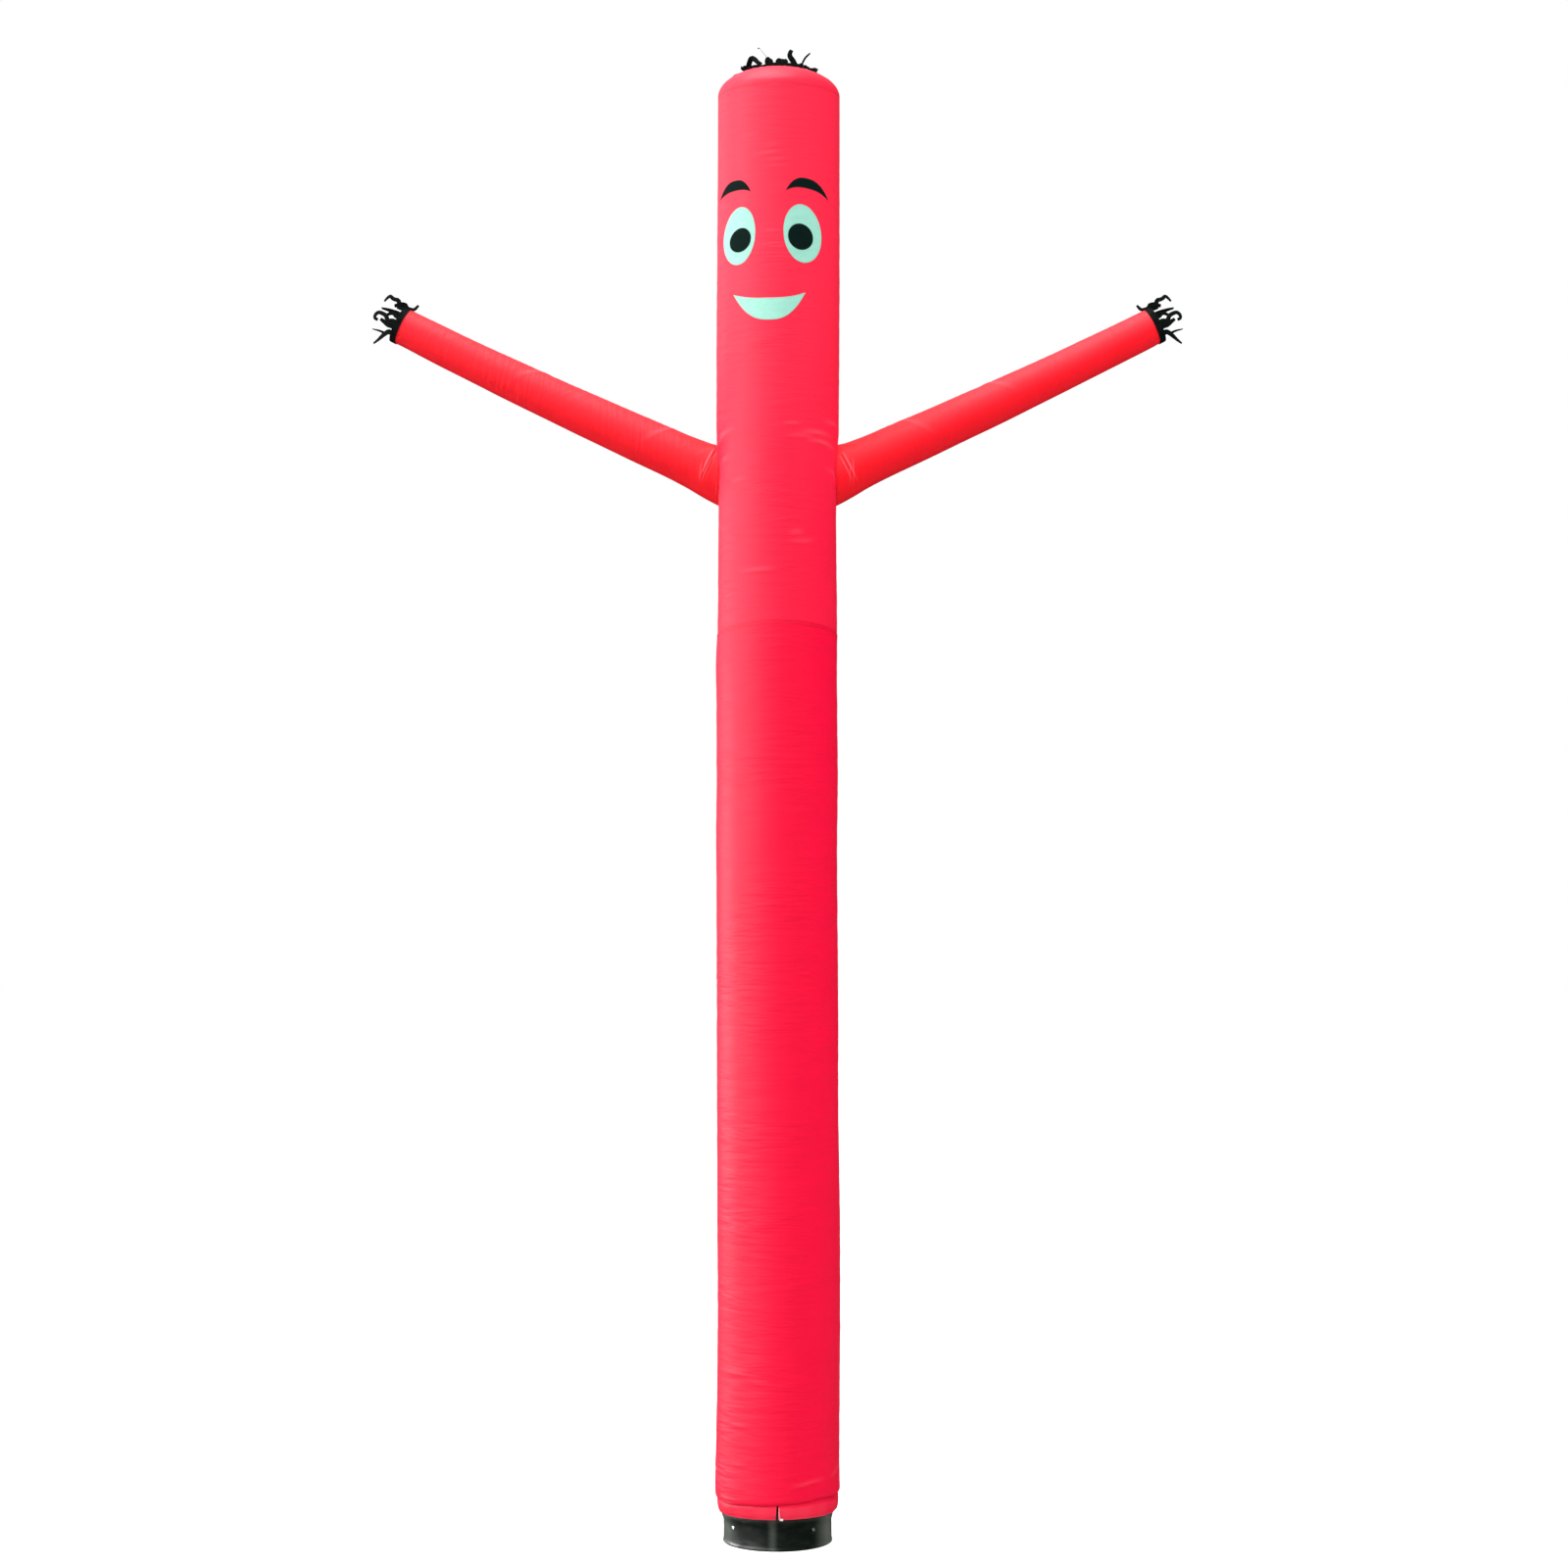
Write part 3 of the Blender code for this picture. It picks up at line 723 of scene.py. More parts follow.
def lower_place(across, along):
    angle = across / BODY_RADIUS
    height, radius, hem, crease, seam = through(LOWER_ROWS, along)
    height += hem * hem_sway(angle) + crease * crease_sway(angle)
    height += seam * SEAM_TILT * math.cos(angle)
    gathers = 0.0013 * math.sin(23 * angle + 2 * math.sin(3 * angle))
    gathers *= 1 - climb(along, 0.0, GATHERS_END)
    slack = climb(along, HEM_DEPTH, 2 * HEM_DEPTH)
    return round_the_body(radius + slack * relief(angle, height) + gathers, angle, height)


def lower_highlights(across, along):
    """Painted highlights on the crests, and a painted sheen over the hem that is strongest along its lower
    edge.
    """
    angle = across / BODY_RADIUS
    # painted sheen on the hem band
    hem = 0.45 + 0.25 * math.sin(3 * angle + 1) + 0.1 * math.sin(17 * angle)
    hem *= 1 - climb(along, CREASE_ALONG - 0.012, CREASE_ALONG - 0.006)
    edge = 1 - climb(along, 0.002, 0.007)
    return body_highlights(angle, through(LOWER_ROWS, along)[0]) + hem + edge


def close_rows_near_hem(bm, rows, hem_rows, hem_length, length):
    """Respaces the rows of a flat panel, so that the first ones are closer together."""
    for vert in bm.verts:
        row = vert.co.y / length * rows
        if row <= hem_rows:
            vert.co.y = row / hem_rows * hem_length
        else:
            vert.co.y = hem_length + (row - hem_rows) / (rows - hem_rows) * (length - hem_length)


def cut_slit(bm, column_width):
    """Moves two columns to the slit's edges and opens the hem between them. It narrows upwards."""
    left, right = -column_width, 0.0
    for vert in bm.verts:
        ease = 1 - climb(vert.co.y, CREASE_ALONG, CREASE_ALONG + SLIT_EASES_OUT)
        gape = 1 - 0.6 * climb(vert.co.y, 0.0, CREASE_ALONG)
        if abs(vert.co.x - left) < 1e-4:
            vert.co.x += ease * (SLIT[0] * gape - left)
        elif abs(vert.co.x - right) < 1e-4:
            vert.co.x += ease * (SLIT[1] - right)
    inside = [
        face
        for face in bm.faces
        if SLIT[0] < face.calc_center_median().x < SLIT[1]
        and face.calc_center_median().y < CREASE_ALONG - 0.002
    ]
    bmesh.ops.delete(bm, geom=inside, context="FACES")


def build_lower_panel(finish):
    columns, rows, hem_rows = 88, 470, 44
    bm = cut_panel(GIRTH, LOWER_LENGTH, columns, rows)
    close_rows_near_hem(bm, rows, hem_rows, HEM_ROWS_END, LOWER_LENGTH)
    cut_slit(bm, GIRTH / columns)
    keep_flat_places(bm)
    lay_highlight_shares(bm, lower_highlights)
    shape(bm, lower_place)
    join_edges(bm)
    piece = make_piece("lower_panel", bm, finish, CLOTH)
    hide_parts("tube_lower")
    return piece


lower_finish = nylon(
    "red_nylon_lower",
    RED,
    [
        Seam((HEM_DEPTH - 0.004,)),
        Seam((LOWER_LENGTH - 0.004, LOWER_LENGTH - 0.013), LOWER_LENGTH - SEAM_LAP, PAST_END),
    ],
    slackness=0.75,
    # painted shade in the crease under the hem's bulge
    painted_shade_at=CREASE_ALONG,
)
lower_panel = build_lower_panel(lower_finish)

# %% [markdown]
# ## The upper panel
#
# The upper panel runs from inside the waist seam to the shoulder of the head. Two round holes let the
# sleeves blow up from inside. They are opened by taking away the faces inside the sleeve's outline and
# drawing the holes' edges out to it.

# %% Upper panel
SHOULDER_HEIGHT = 5.880
UpperRow = namedtuple("UpperRow", "height radius seam")
UPPER_PROFILE = table(UpperRow, (
    (SEAM_HEIGHT - SEAM_LAP, 0.2440, 1),
    (SEAM_HEIGHT + SEAM_LAP, 0.2440, 1),
    (3.884, 0.2426, 0.2),
    (4.080, 0.2410, 0),
    (4.200, 0.2402, 0),
    (4.320, 0.2418, 0),
    (4.440, 0.2450, 0),
    (4.520, 0.2478, 0),
    (4.700, BODY_RADIUS, 0),
    (5.300, BODY_RADIUS, 0),
    (5.800, BODY_RADIUS, 0),
    (SHOULDER_HEIGHT, BODY_RADIUS, 0),
))
UPPER_ROWS = with_lengths(UPPER_PROFILE)
UPPER_LENGTH = UPPER_ROWS[-1][0]
SKIN_ROWS = [(row.height, row.radius) for row in UPPER_PROFILE]


def skin_radius(angle, height):
    """Radius of the upper body's outside, for whatever is sewn to it."""
    (radius,) = through(SKIN_ROWS, height)
    return radius + relief(angle, height)


def upper_place(across, along):
    angle = across / BODY_RADIUS
    height, radius, seam = through(UPPER_ROWS, along)
    height += seam * SEAM_TILT * math.cos(angle)
    return round_the_body(radius + relief(angle, height), angle, height)


print("upper panel, metres of cloth:", round(UPPER_LENGTH, 3))

# %% [markdown]
# ## Where the sleeves go
#
# A sleeve's middle line climbs away from the body and curves up a little towards the hand. A frame at
# each point of it, with one axis to the front and one up, lets the sleeve's cloth be rolled round it.

# %% Sleeve axis
ARM_START = 0.12
ARM_START_HEIGHT = 4.2992
ARM_SLOPE = 0.4505
ARM_LIFT = 0.0103
ARM_SET_BACK = 0.055
ARM_BACK = 0.0312
SLEEVE_END = 1.538
CUFF_WIDTH = 0.026
SleeveRow = namedtuple("SleeveRow", "reach radius")
SLEEVE_PROFILE = table(SleeveRow, (
    (0.120, 0.1185),
    (0.200, 0.1158),
    (0.254, 0.1120),
    (0.294, 0.1070),
    (0.334, 0.1018),
    (0.414, 0.0968),
    (0.540, 0.0944),
    (0.700, 0.0908),
    (0.900, 0.0868),
    (1.100, 0.0820),
    (1.300, 0.0784),
    (1.480, 0.0760),
    (1.538, 0.0750),
    (1.640, 0.0750),
))


def arm_point(reach):
    out = reach - ARM_START
    height = ARM_START_HEIGHT + ARM_SLOPE * out + ARM_LIFT * out**3
    return Vector((reach, ARM_SET_BACK + ARM_BACK * out, height))


def arm_axes(reach):
    """Along the sleeve, to its front and to its top, square to each other."""
    out = reach - ARM_START
    along = Vector((1, ARM_BACK, ARM_SLOPE + 3 * ARM_LIFT * out**2)).normalized()
    front = along.cross(Vector((0, 0, 1))).normalized()
    return along, front, front.cross(along)


def sleeve_spot(reach, turn, radius):
    """A point round the sleeve: a turn of 0 is its front and a quarter turn its top."""
    _, front, top = arm_axes(reach)
    return arm_point(reach) + (front * math.cos(turn) + top * math.sin(turn)) * radius


print("sleeve end at", [round(v, 3) for v in arm_point(SLEEVE_END)])


# %% Upper panel with its arm holes
HOLE_HEIGHT = 4.34
HOLE_REACH = 0.20
HOLE_SIDE = 0.17
HOLE_SPARE = 0.010  # the hole is this much smaller than the sleeve


def nearest_on_arm(point):
    """The nearest point on the middle line of the sleeve at that side, and the sleeve's radius there."""
    mirrored = Vector((abs(point.x), point.y, point.z))
    reach = ARM_START
    for _ in range(6):
        along, _, _ = arm_axes(reach)
        reach += (mirrored - arm_point(reach)).dot(along) * along.x
    (radius,) = through(SLEEVE_PROFILE, reach)
    middle = arm_point(reach)
    middle.x = math.copysign(middle.x, point.x)
    return middle, radius


def inside_hole(point):
    """How far a point of the upper body lies inside the edge of its arm hole."""
    middle, radius = nearest_on_arm(point)
    return radius - HOLE_SPARE - (point - middle).length


def open_arm_holes(bm):
    holes = []
    for face in bm.faces:
        spot = face.calc_center_median()
        beside = abs(spot.x) > HOLE_SIDE and abs(spot.z - HOLE_HEIGHT) < HOLE_REACH
        if beside and inside_hole(spot) > 0:
            holes.append(face)
    bmesh.ops.delete(bm, geom=holes, context="FACES")
    for vert in bm.verts:
        if vert.is_boundary and abs(vert.co.z - HOLE_HEIGHT) < HOLE_REACH:
            middle, _ = nearest_on_arm(vert.co)
            vert.co += (vert.co - middle).normalized() * inside_hole(vert.co)


def upper_highlights(across, along):
    return body_highlights(across / BODY_RADIUS, through(UPPER_ROWS, along)[0])


def build_upper_panel(finish):
    bm = cut_panel(GIRTH, UPPER_LENGTH, 88, 360)
    lay_highlight_shares(bm, upper_highlights)
    shape(bm, upper_place)
    join_edges(bm)
    open_arm_holes(bm)
    piece = make_piece("upper_panel", bm, finish, CLOTH)
    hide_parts("tube_upper")
    return piece


upper_finish = nylon(
    "red_nylon_upper",
    UPPER_RED,
    [Seam((UPPER_LENGTH - 0.006,), UPPER_LENGTH - 0.004, PAST_END)],
    taut=UPPER_LENGTH - 0.46,
    # painted sheen, paler towards the head
    fade=(0.2, 1.7),
)
upper_panel = build_upper_panel(upper_finish)

# %% [markdown]
# ## The head's cap
#
# The cap is a shallow dome with an open vent in its middle, so that air can leave and the figure can
# flick about. It puckers a little where it is sewn to the panel and to the tape of the hair.

# %% Cap
DOME_HEIGHT = 0.110
VENT_RADIUS = 0.085
CAP_RIM = 0.006


def dome_height(radius):
    rise = DOME_HEIGHT * math.sqrt(max(0.0, 1 - (radius / BODY_RADIUS) ** 2))
    return SHOULDER_HEIGHT + CAP_RIM + rise


def cap_profile(steps):
    """(radius, height) from the rim to the vent, in steps of even turn."""
    last = math.acos(VENT_RADIUS / BODY_RADIUS)
    rows = [(BODY_RADIUS, SHOULDER_HEIGHT + 0.0003)]
    for step in range(steps):
        radius = BODY_RADIUS * math.cos(last * step / (steps - 1))
        rows.append((radius, dome_height(radius)))
    return rows


CAP_STEPS = 40
CAP_ROWS = cap_profile(CAP_STEPS)


def cap_place(across, along):
    angle = across / BODY_RADIUS
    share = along * CAP_STEPS
    row = min(int(share), CAP_STEPS - 1)
    radius, height = Vector(CAP_ROWS[row]).lerp(Vector(CAP_ROWS[row + 1]), share - row)
    outwards = radius / BODY_RADIUS
    lift = relief(angle, height) * outwards**2
    gathers = 0.0024 * math.sin(31 * angle + 3 * math.sin(2 * angle)) * (1 - outwards)
    return round_the_body(radius + lift, angle, height + gathers)


def on_cap_cut(vert):
    """The cap's flat cut is a disc, so its threads run straight across and not round the vent."""
    spot = vert.co
    radius = math.hypot(spot.x, spot.y)
    flat = radius + 0.9 * max(0.0, dome_height(0.0) - spot.z)
    return spot.x / radius * flat, spot.y / radius * flat


def build_cap(finish):
    bm = cut_panel(GIRTH, 1.0, 88, CAP_STEPS)
    lay_highlight_shares(bm, lambda across, along: 0.0)
    shape(bm, cap_place)
    join_edges(bm)
    lay_uv(bm, "cut", on_cap_cut)
    piece = make_piece("head_cap_cloth", bm, finish, CLOTH)
    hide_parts("head_cap")
    return piece


cap_finish = nylon("red_nylon_cap", CAP_RED_WITH_PAINTED_SHEEN, [], slackness=0.2)
cap = build_cap(cap_finish)

# %% [markdown]
# ## The sleeves
#
# Each sleeve starts in a ring where it meets the body's skin. That ring is found by walking along the
# sleeve until it leaves the body. The cloth twists a little as it fills, so its folds run aslant: they
# fan out from the root and drop towards the hand. The seam lies underneath, out of sight.

# %% Sleeve cloth
SLEEVE_WIDTH = 0.544
SLEEVE_LENGTH = 1.470
SEAM_STAND = 0.0008
TWIST = 1.6  # how much further round than along a ripple runs
RIPPLE_RADIUS = 0.088
FOLD_RADIUS = 0.1  # the sleeve's cloth is taken to be laid flat at this radius
FOLD_LEAD = 0.4  # a fold fades in over this share of its length, ahead of its start
FULL_FOLD_HIGHLIGHT = 0.004  # a fold this high gets the full painted highlight

# Start and end of a fold are each a reach and a turn in degrees, with 0 at the front and 90 on top.
Fold = namedtuple("Fold", "side start end width depth")
SLEEVE_FOLDS = table(Fold, (
    ("right", (0.289, 15), (0.294, -48), 0.0042, 0.0040),
    ("right", (0.272, 12), (0.277, -42), 0.0036, 0.0030),
    ("right", (0.300, -4), (0.266, -52), 0.0038, 0.0020),
    ("right", (0.284, -8), (0.250, -50), 0.0034, 0.0018),
    ("right", (0.246, 96), (0.380, 40), 0.0090, 0.0024),
    ("right", (0.290, 150), (0.330, 100), 0.0080, 0.0030),
    ("right", (0.290, -150), (0.320, -110), 0.0080, 0.0030),
    ("right", (0.560, 60), (0.640, -20), 0.0110, 0.0016),
    ("right", (0.900, 70), (0.990, -10), 0.0110, 0.0016),
    ("left", (0.289, 25), (0.292, -42), 0.0042, 0.0042),
    ("left", (0.281, 8), (0.280, -46), 0.0034, 0.0028),
    ("left", (0.300, -10), (0.276, -56), 0.0040, 0.0018),
    ("left", (0.246, 92), (0.370, 46), 0.0090, 0.0024),
    ("left", (0.290, 140), (0.330, 110), 0.0080, 0.0030),
    ("left", (0.290, -140), (0.330, -100), 0.0080, 0.0030),
    ("left", (0.480, 60), (0.560, -20), 0.0110, 0.0018),
    ("left", (1.000, 70), (1.100, -10), 0.0110, 0.0014),
))


def laid_flat(reach, turn):
    return Vector((reach, turn * FOLD_RADIUS))


def fold_lift(fold, reach, turn):
    """Height of one fold at a spot of the sleeve's cloth, measured on the cloth laid flat."""
    start, end = (laid_flat(far, math.radians(degrees)) for far, degrees in (fold.start, fold.end))
    run = end - start
    spot = laid_flat(reach, turn) - start
    share = spot.dot(run) / run.length_squared
    if not -FOLD_LEAD < share < 1.0:
        return 0.0
    off = (run.x * spot.y - run.y * spot.x) / run.length / fold.width
    if abs(off) > RIDGE_ENDS:
        return 0.0
    fade = (1 - share**2) ** 2 if share > 0 else 1 - (share / FOLD_LEAD) ** 2
    return fold.depth * fade * ridge(off)


def folds_at(side, reach, turn):
    return [fold_lift(fold, reach, turn) for fold in SLEEVE_FOLDS if fold.side == side]


def sleeve_relief(side, reach, turn):
    offset = 3.0 if side == "left" else 11.0
    aslant = turn * RIPPLE_RADIUS + TWIST * reach
    swell = noise.noise(Vector((reach * 5, math.cos(turn) + offset, math.sin(turn))))
    ripple = noise.noise(Vector((aslant * 42, reach * 5, offset)))
    upper = 0.5 + 0.5 * math.sin(turn)
    return 0.0016 * swell + 0.0010 * upper * ripple + sum(folds_at(side, reach, turn))


def root_reach(side, turn):
    """Where a line along the sleeve comes out of the body's skin."""
    low, high = ARM_START + 0.01, 0.32
    for _ in range(18):
        middle = (low + high) / 2
        (radius,) = through(SLEEVE_PROFILE, middle)
        spot = sleeve_spot(middle, turn, radius)
        angle = math.atan2(spot.x if side == "right" else -spot.x, -spot.y)
        if math.hypot(spot.x, spot.y) < skin_radius(angle, spot.z) + SEAM_STAND:
            low = middle
        else:
            high = middle
    return high


def build_sleeve(side, finish):
    columns, rows = 84, 250
    turns = {}

    def round_sleeve(across, along):
        """How far out a spot of the flat cloth lies, and how far round from the front."""
        turn = math.pi / 2 - across / SLEEVE_WIDTH * math.tau
        key = round(turn, 5)
        if key not in turns:
            turns[key] = root_reach(side, turn)
        root = turns[key]
        reach = root + along / SLEEVE_LENGTH * (SLEEVE_END + CUFF_WIDTH * 0.7 - root)
        return reach, (turn + math.pi) % math.tau - math.pi

    def place(across, along):
        reach, turn = round_sleeve(across, along)
        (radius,) = through(SLEEVE_PROFILE, reach)
        cuff = climb(SLEEVE_END - reach, 0.0, 0.03)
        return sleeve_spot(reach, turn, radius + cuff * sleeve_relief(side, reach, turn))

    # painted highlight on the crests of the sleeve's folds
    def crests(across, along):
        lifts = folds_at(side, *round_sleeve(across, along))
        return sum(max(lift, 0.0) for lift in lifts) / FULL_FOLD_HIGHLIGHT

    bm = cut_panel(SLEEVE_WIDTH, SLEEVE_LENGTH, columns, rows)
    near_root = [edge for edge in bm.edges if max(vert.co.y for vert in edge.verts) < 0.12]
    bmesh.ops.subdivide_edges(bm, edges=near_root, cuts=2, use_grid_fill=True)
    keep_flat_places(bm)
    lay_highlight_shares(bm, crests)
    shape(bm, place)
    join_edges(bm)
    if side == "left":
        mirror(bm)
    piece = make_piece(f"sleeve_{side}", bm, finish, CLOTH)
    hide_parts(f"arm_{side}")
    return piece


sleeve_finish = nylon(
    "red_nylon_sleeve",
    SLEEVE_RED,
    [Seam((0.006,), BEFORE_START, 0.011)],
    slackness=0.7,
    painted_highlight=0.42,
    # painted shade on the sleeve beside the cuff's tape
    painted_shade_at=1.447,
    taut=1.2,
    sleeve=True,
)
sleeves = {side: build_sleeve(side, sleeve_finish) for side in ("left", "right")}

# %% [markdown]
# ## Streamers
#
# Hair and hands are one idea three times over: a black tape sewn round an open end, cut into narrow
# streamers beyond its sewn edge. Wind curls and twists them. Those that show from the front are laid
# along a few given points each, and the rest curl at random.

# %% Black nylon and its streamers
BLACK = (0.0030, 0.0042, 0.0040)
STREAMER_STEPS = 22
STREAMER_CLOTH = 0.0008
LOOSE_WIDTH = 0.012
Streamer = namedtuple("Streamer", "depth width twist points")
# Loose streamers stand over `sweep` degrees of the round, from `start` on. The last three are ranges.
Loose = namedtuple("Loose", "seed count start sweep spread length curl")


def black_nylon(name):
    finish = Finish(name)
    flat, across, along = finish.cloth_place("cut")
    threads = weave(across, along)
    crumple = finish.grain(flat, 60.0, 40.0)
    finish.set(
        base_color=finish.mix(crumple.ramp(0.35, 0.75), opaque(BLACK), opaque(BLACK, 1.7)),
        roughness=0.46 + crumple * 0.2,
        specular_ior_level=0.012,
    )
    finish.emboss(crumple * 0.0012 + threads * 0.00002)
    return finish.material


def lengths_of(points):
    """(length so far, x, y, z) for each point, ready for `through`."""
    rows, length = [(0.0, *points[0])], 0.0
    for last, point in zip(points, points[1:]):
        length += (point - last).length
        rows.append((length, *point))
    return rows


def lay_streamer(bm, points, facing, width, twist):
    """Adds a ribbon along a smooth path. It faces `facing` where its twist is 0."""
    rows = lengths_of(points)
    length = rows[-1][0]
    strip = cut_panel(width, length, 2, STREAMER_STEPS)

    def place(across, along):
        here = Vector(through(rows, along))
        ahead = Vector(through(rows, min(along + 0.002, length)))
        behind = Vector(through(rows, max(along - 0.002, 0.0)))
        heading = (ahead - behind).normalized()
        flat = heading.cross(facing).normalized()
        share = along / length
        turn = math.radians(twist[0] + (twist[1] - twist[0]) * share)
        side = flat * math.cos(turn) + heading.cross(flat) * math.sin(turn)
        cupped = heading.cross(side) * (across * across * 12)
        narrowing = 1 - 0.35 * share**3
        return here + side * across * narrowing + cupped

    shape(strip, place)
    add_to(bm, strip)


def lay_shown(bm, streamers, origin, axes, path_start):
    """Lays the streamers that show: each sets off from the tape and then keeps to its points."""
    out_axis, front, up_axis = axes
    for streamer in streamers:
        path = path_start(streamer)
        start = (path[-1] - origin).dot(front)
        for index, (out, up) in enumerate(streamer.points):
            depth = start + (streamer.depth - start) * (index + 1) / len(streamer.points)
            path.append(origin + out_axis * out + up_axis * up + front * depth)
        lay_streamer(bm, path, front, streamer.width, streamer.twist)


def wandering(draw, start, along, outward, length, curl):
    """Points of a streamer that sets off along, then turns outward by `curl` degrees."""
    across = along.cross(outward)
    sway = draw.uniform(-0.5, 0.5)
    bow = draw.uniform(-40, 40)
    points = [start]
    for step in range(1, 8):
        share = step / 7
        slope = math.radians(curl * share**1.3 + bow * math.sin(math.tau * share))
        heading = along * math.cos(slope) + outward * math.sin(slope) + across * sway * share
        points.append(points[-1] + heading.normalized() * (length / 7))
    return points


def lay_loose(bm, loose, along, outward_at, root_at):
    """Lays streamers that curl at random, round the part of a tape that shows less."""
    draw = random.Random(loose.seed)
    for index in range(loose.count):
        share = loose.sweep * (index + draw.uniform(*loose.spread)) / loose.count
        turn = math.radians(loose.start + share)
        outward = outward_at(turn)
        length, curl = draw.uniform(*loose.length), draw.uniform(*loose.curl)
        path = wandering(draw, root_at(turn), along, outward, length, curl)
        twist = draw.uniform(-20, 20), draw.uniform(-90, 90)
        lay_streamer(bm, path, outward, LOOSE_WIDTH, twist)


def build_tape(bm, radius, width, spot, wave):
    """A ring of tape: `spot(turn, radius, along)` gives its places."""
    tape = cut_panel(math.tau * radius, width, 72, 4)

    def place(across, along):
        turn = across / radius
        ripple = wave * math.sin(9 * turn + 2 * math.sin(4 * turn))
        return spot(turn, radius + ripple, along)

    shape(tape, place)
    join_edges(tape)
    add_to(bm, tape)


def turn_for(off, radius, limit):
    """How far round a tape a spot lies that is `off` to the side of its middle."""
    return math.asin(max(-limit, min(limit, off / radius)))


print("streamers have", STREAMER_STEPS, "steps each")

# %% [markdown]
# ### Hands
#
# The points of a hand's streamers are (distance beyond the sleeve's end, height above its middle).
# The two hands are mirror images. `depth` is how far in front of the sleeve's middle a streamer ends.

# %% Hands
TAPE = 0.0015
TAPE_GAP = 0.0004
HAND_ROOT = (0.001, 0.016)  # a root lies this far under the tape's outside and this far along it
HAND_STREAMERS = table(Streamer, (
    (0.010, 0.016, (10, 20), ((-0.004, 0.079), (-0.010, 0.087), (-0.015, 0.106))),
    (0.030, 0.020, (0, 10), ((0.030, 0.080), (0.043, 0.077), (0.056, 0.067), (0.068, 0.057))),
    (0.045, 0.018, (0, 20), ((0.030, 0.060), (0.040, 0.058), (0.053, 0.055))),
    (
        0.020, 0.019, (20, -40),
        ((0.045, 0.074), (0.060, 0.079), (0.067, 0.086), (0.080, 0.083), (0.092, 0.083), (0.104, 0.087),
         (0.112, 0.074), (0.117, 0.056)),
    ),
    (0.050, 0.018, (0, 60), ((0.036, 0.033), (0.054, 0.031), (0.082, 0.027), (0.106, 0.022))),
    (
        0.060, 0.019, (0, -20),
        ((0.036, -0.004), (0.055, -0.012), (0.072, 0.002), (0.092, 0.004), (0.106, 0.001),
         (0.114, -0.013), (0.110, -0.027), (0.096, -0.027)),
    ),
    (0.065, 0.016, (0, 20), ((0.034, 0.018), (0.048, 0.023), (0.060, 0.018), (0.072, 0.003))),
    (0.070, 0.020, (0, 10), ((0.034, -0.026), (0.046, -0.028), (0.065, -0.024), (0.086, -0.020))),
    (0.072, 0.018, (0, 10), ((0.033, -0.010), (0.045, -0.016), (0.058, -0.018))),
    (
        0.040, 0.022, (0, -50),
        ((0.036, -0.050), (0.046, -0.062), (0.057, -0.085), (0.063, -0.098), (0.074, -0.119)),
    ),
    (0.030, 0.014, (20, 75), ((0.034, -0.052), (0.046, -0.061), (0.075, -0.063), (0.105, -0.069))),
))
LOOSE_AT_HAND = Loose(31, 10, 120, 105, (0.2, 0.8), (0.045, 0.075), (50, 130))


def build_hand(side, finish):
    along, front, top = arm_axes(SLEEVE_END)
    middle = arm_point(SLEEVE_END)
    radius = SLEEVE_PROFILE[-1].radius + TAPE_GAP + TAPE

    def outward_at(turn):
        return front * math.cos(turn) + top * math.sin(turn)

    def tape_spot(turn, reach, out):
        return middle + along * out + outward_at(turn) * reach

    def root_at(turn):
        return tape_spot(turn, radius - HAND_ROOT[0], HAND_ROOT[1])

    def path_start(streamer):
        root = root_at(turn_for(streamer.points[0][1], radius, 0.97))
        turns_back = streamer.points[0][0] < 0
        return [root] if turns_back else [root, root + along * 0.009]

    bm = bmesh.new()
    build_tape(bm, radius, CUFF_WIDTH, tape_spot, 0.0006)
    lay_shown(bm, HAND_STREAMERS, middle, (along, front, top), path_start)
    lay_loose(bm, LOOSE_AT_HAND, along, outward_at, root_at)
    if side == "left":
        mirror(bm)
    piece = make_piece(f"hand_streamers_{side}", bm, finish, STREAMER_CLOTH)
    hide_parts(f"hand_fringe_{side}")
    return piece


streamer_finish = black_nylon("black_nylon_streamers")
hands = {side: build_hand(side, streamer_finish) for side in ("left", "right")}

# %% [markdown]
# ### Hair
#
# The hair's tape stands round the vent. Its streamers' points are (to the right, height), and `depth`
# is how far in front of the tube's axis a streamer ends. Some flop down over the cap.

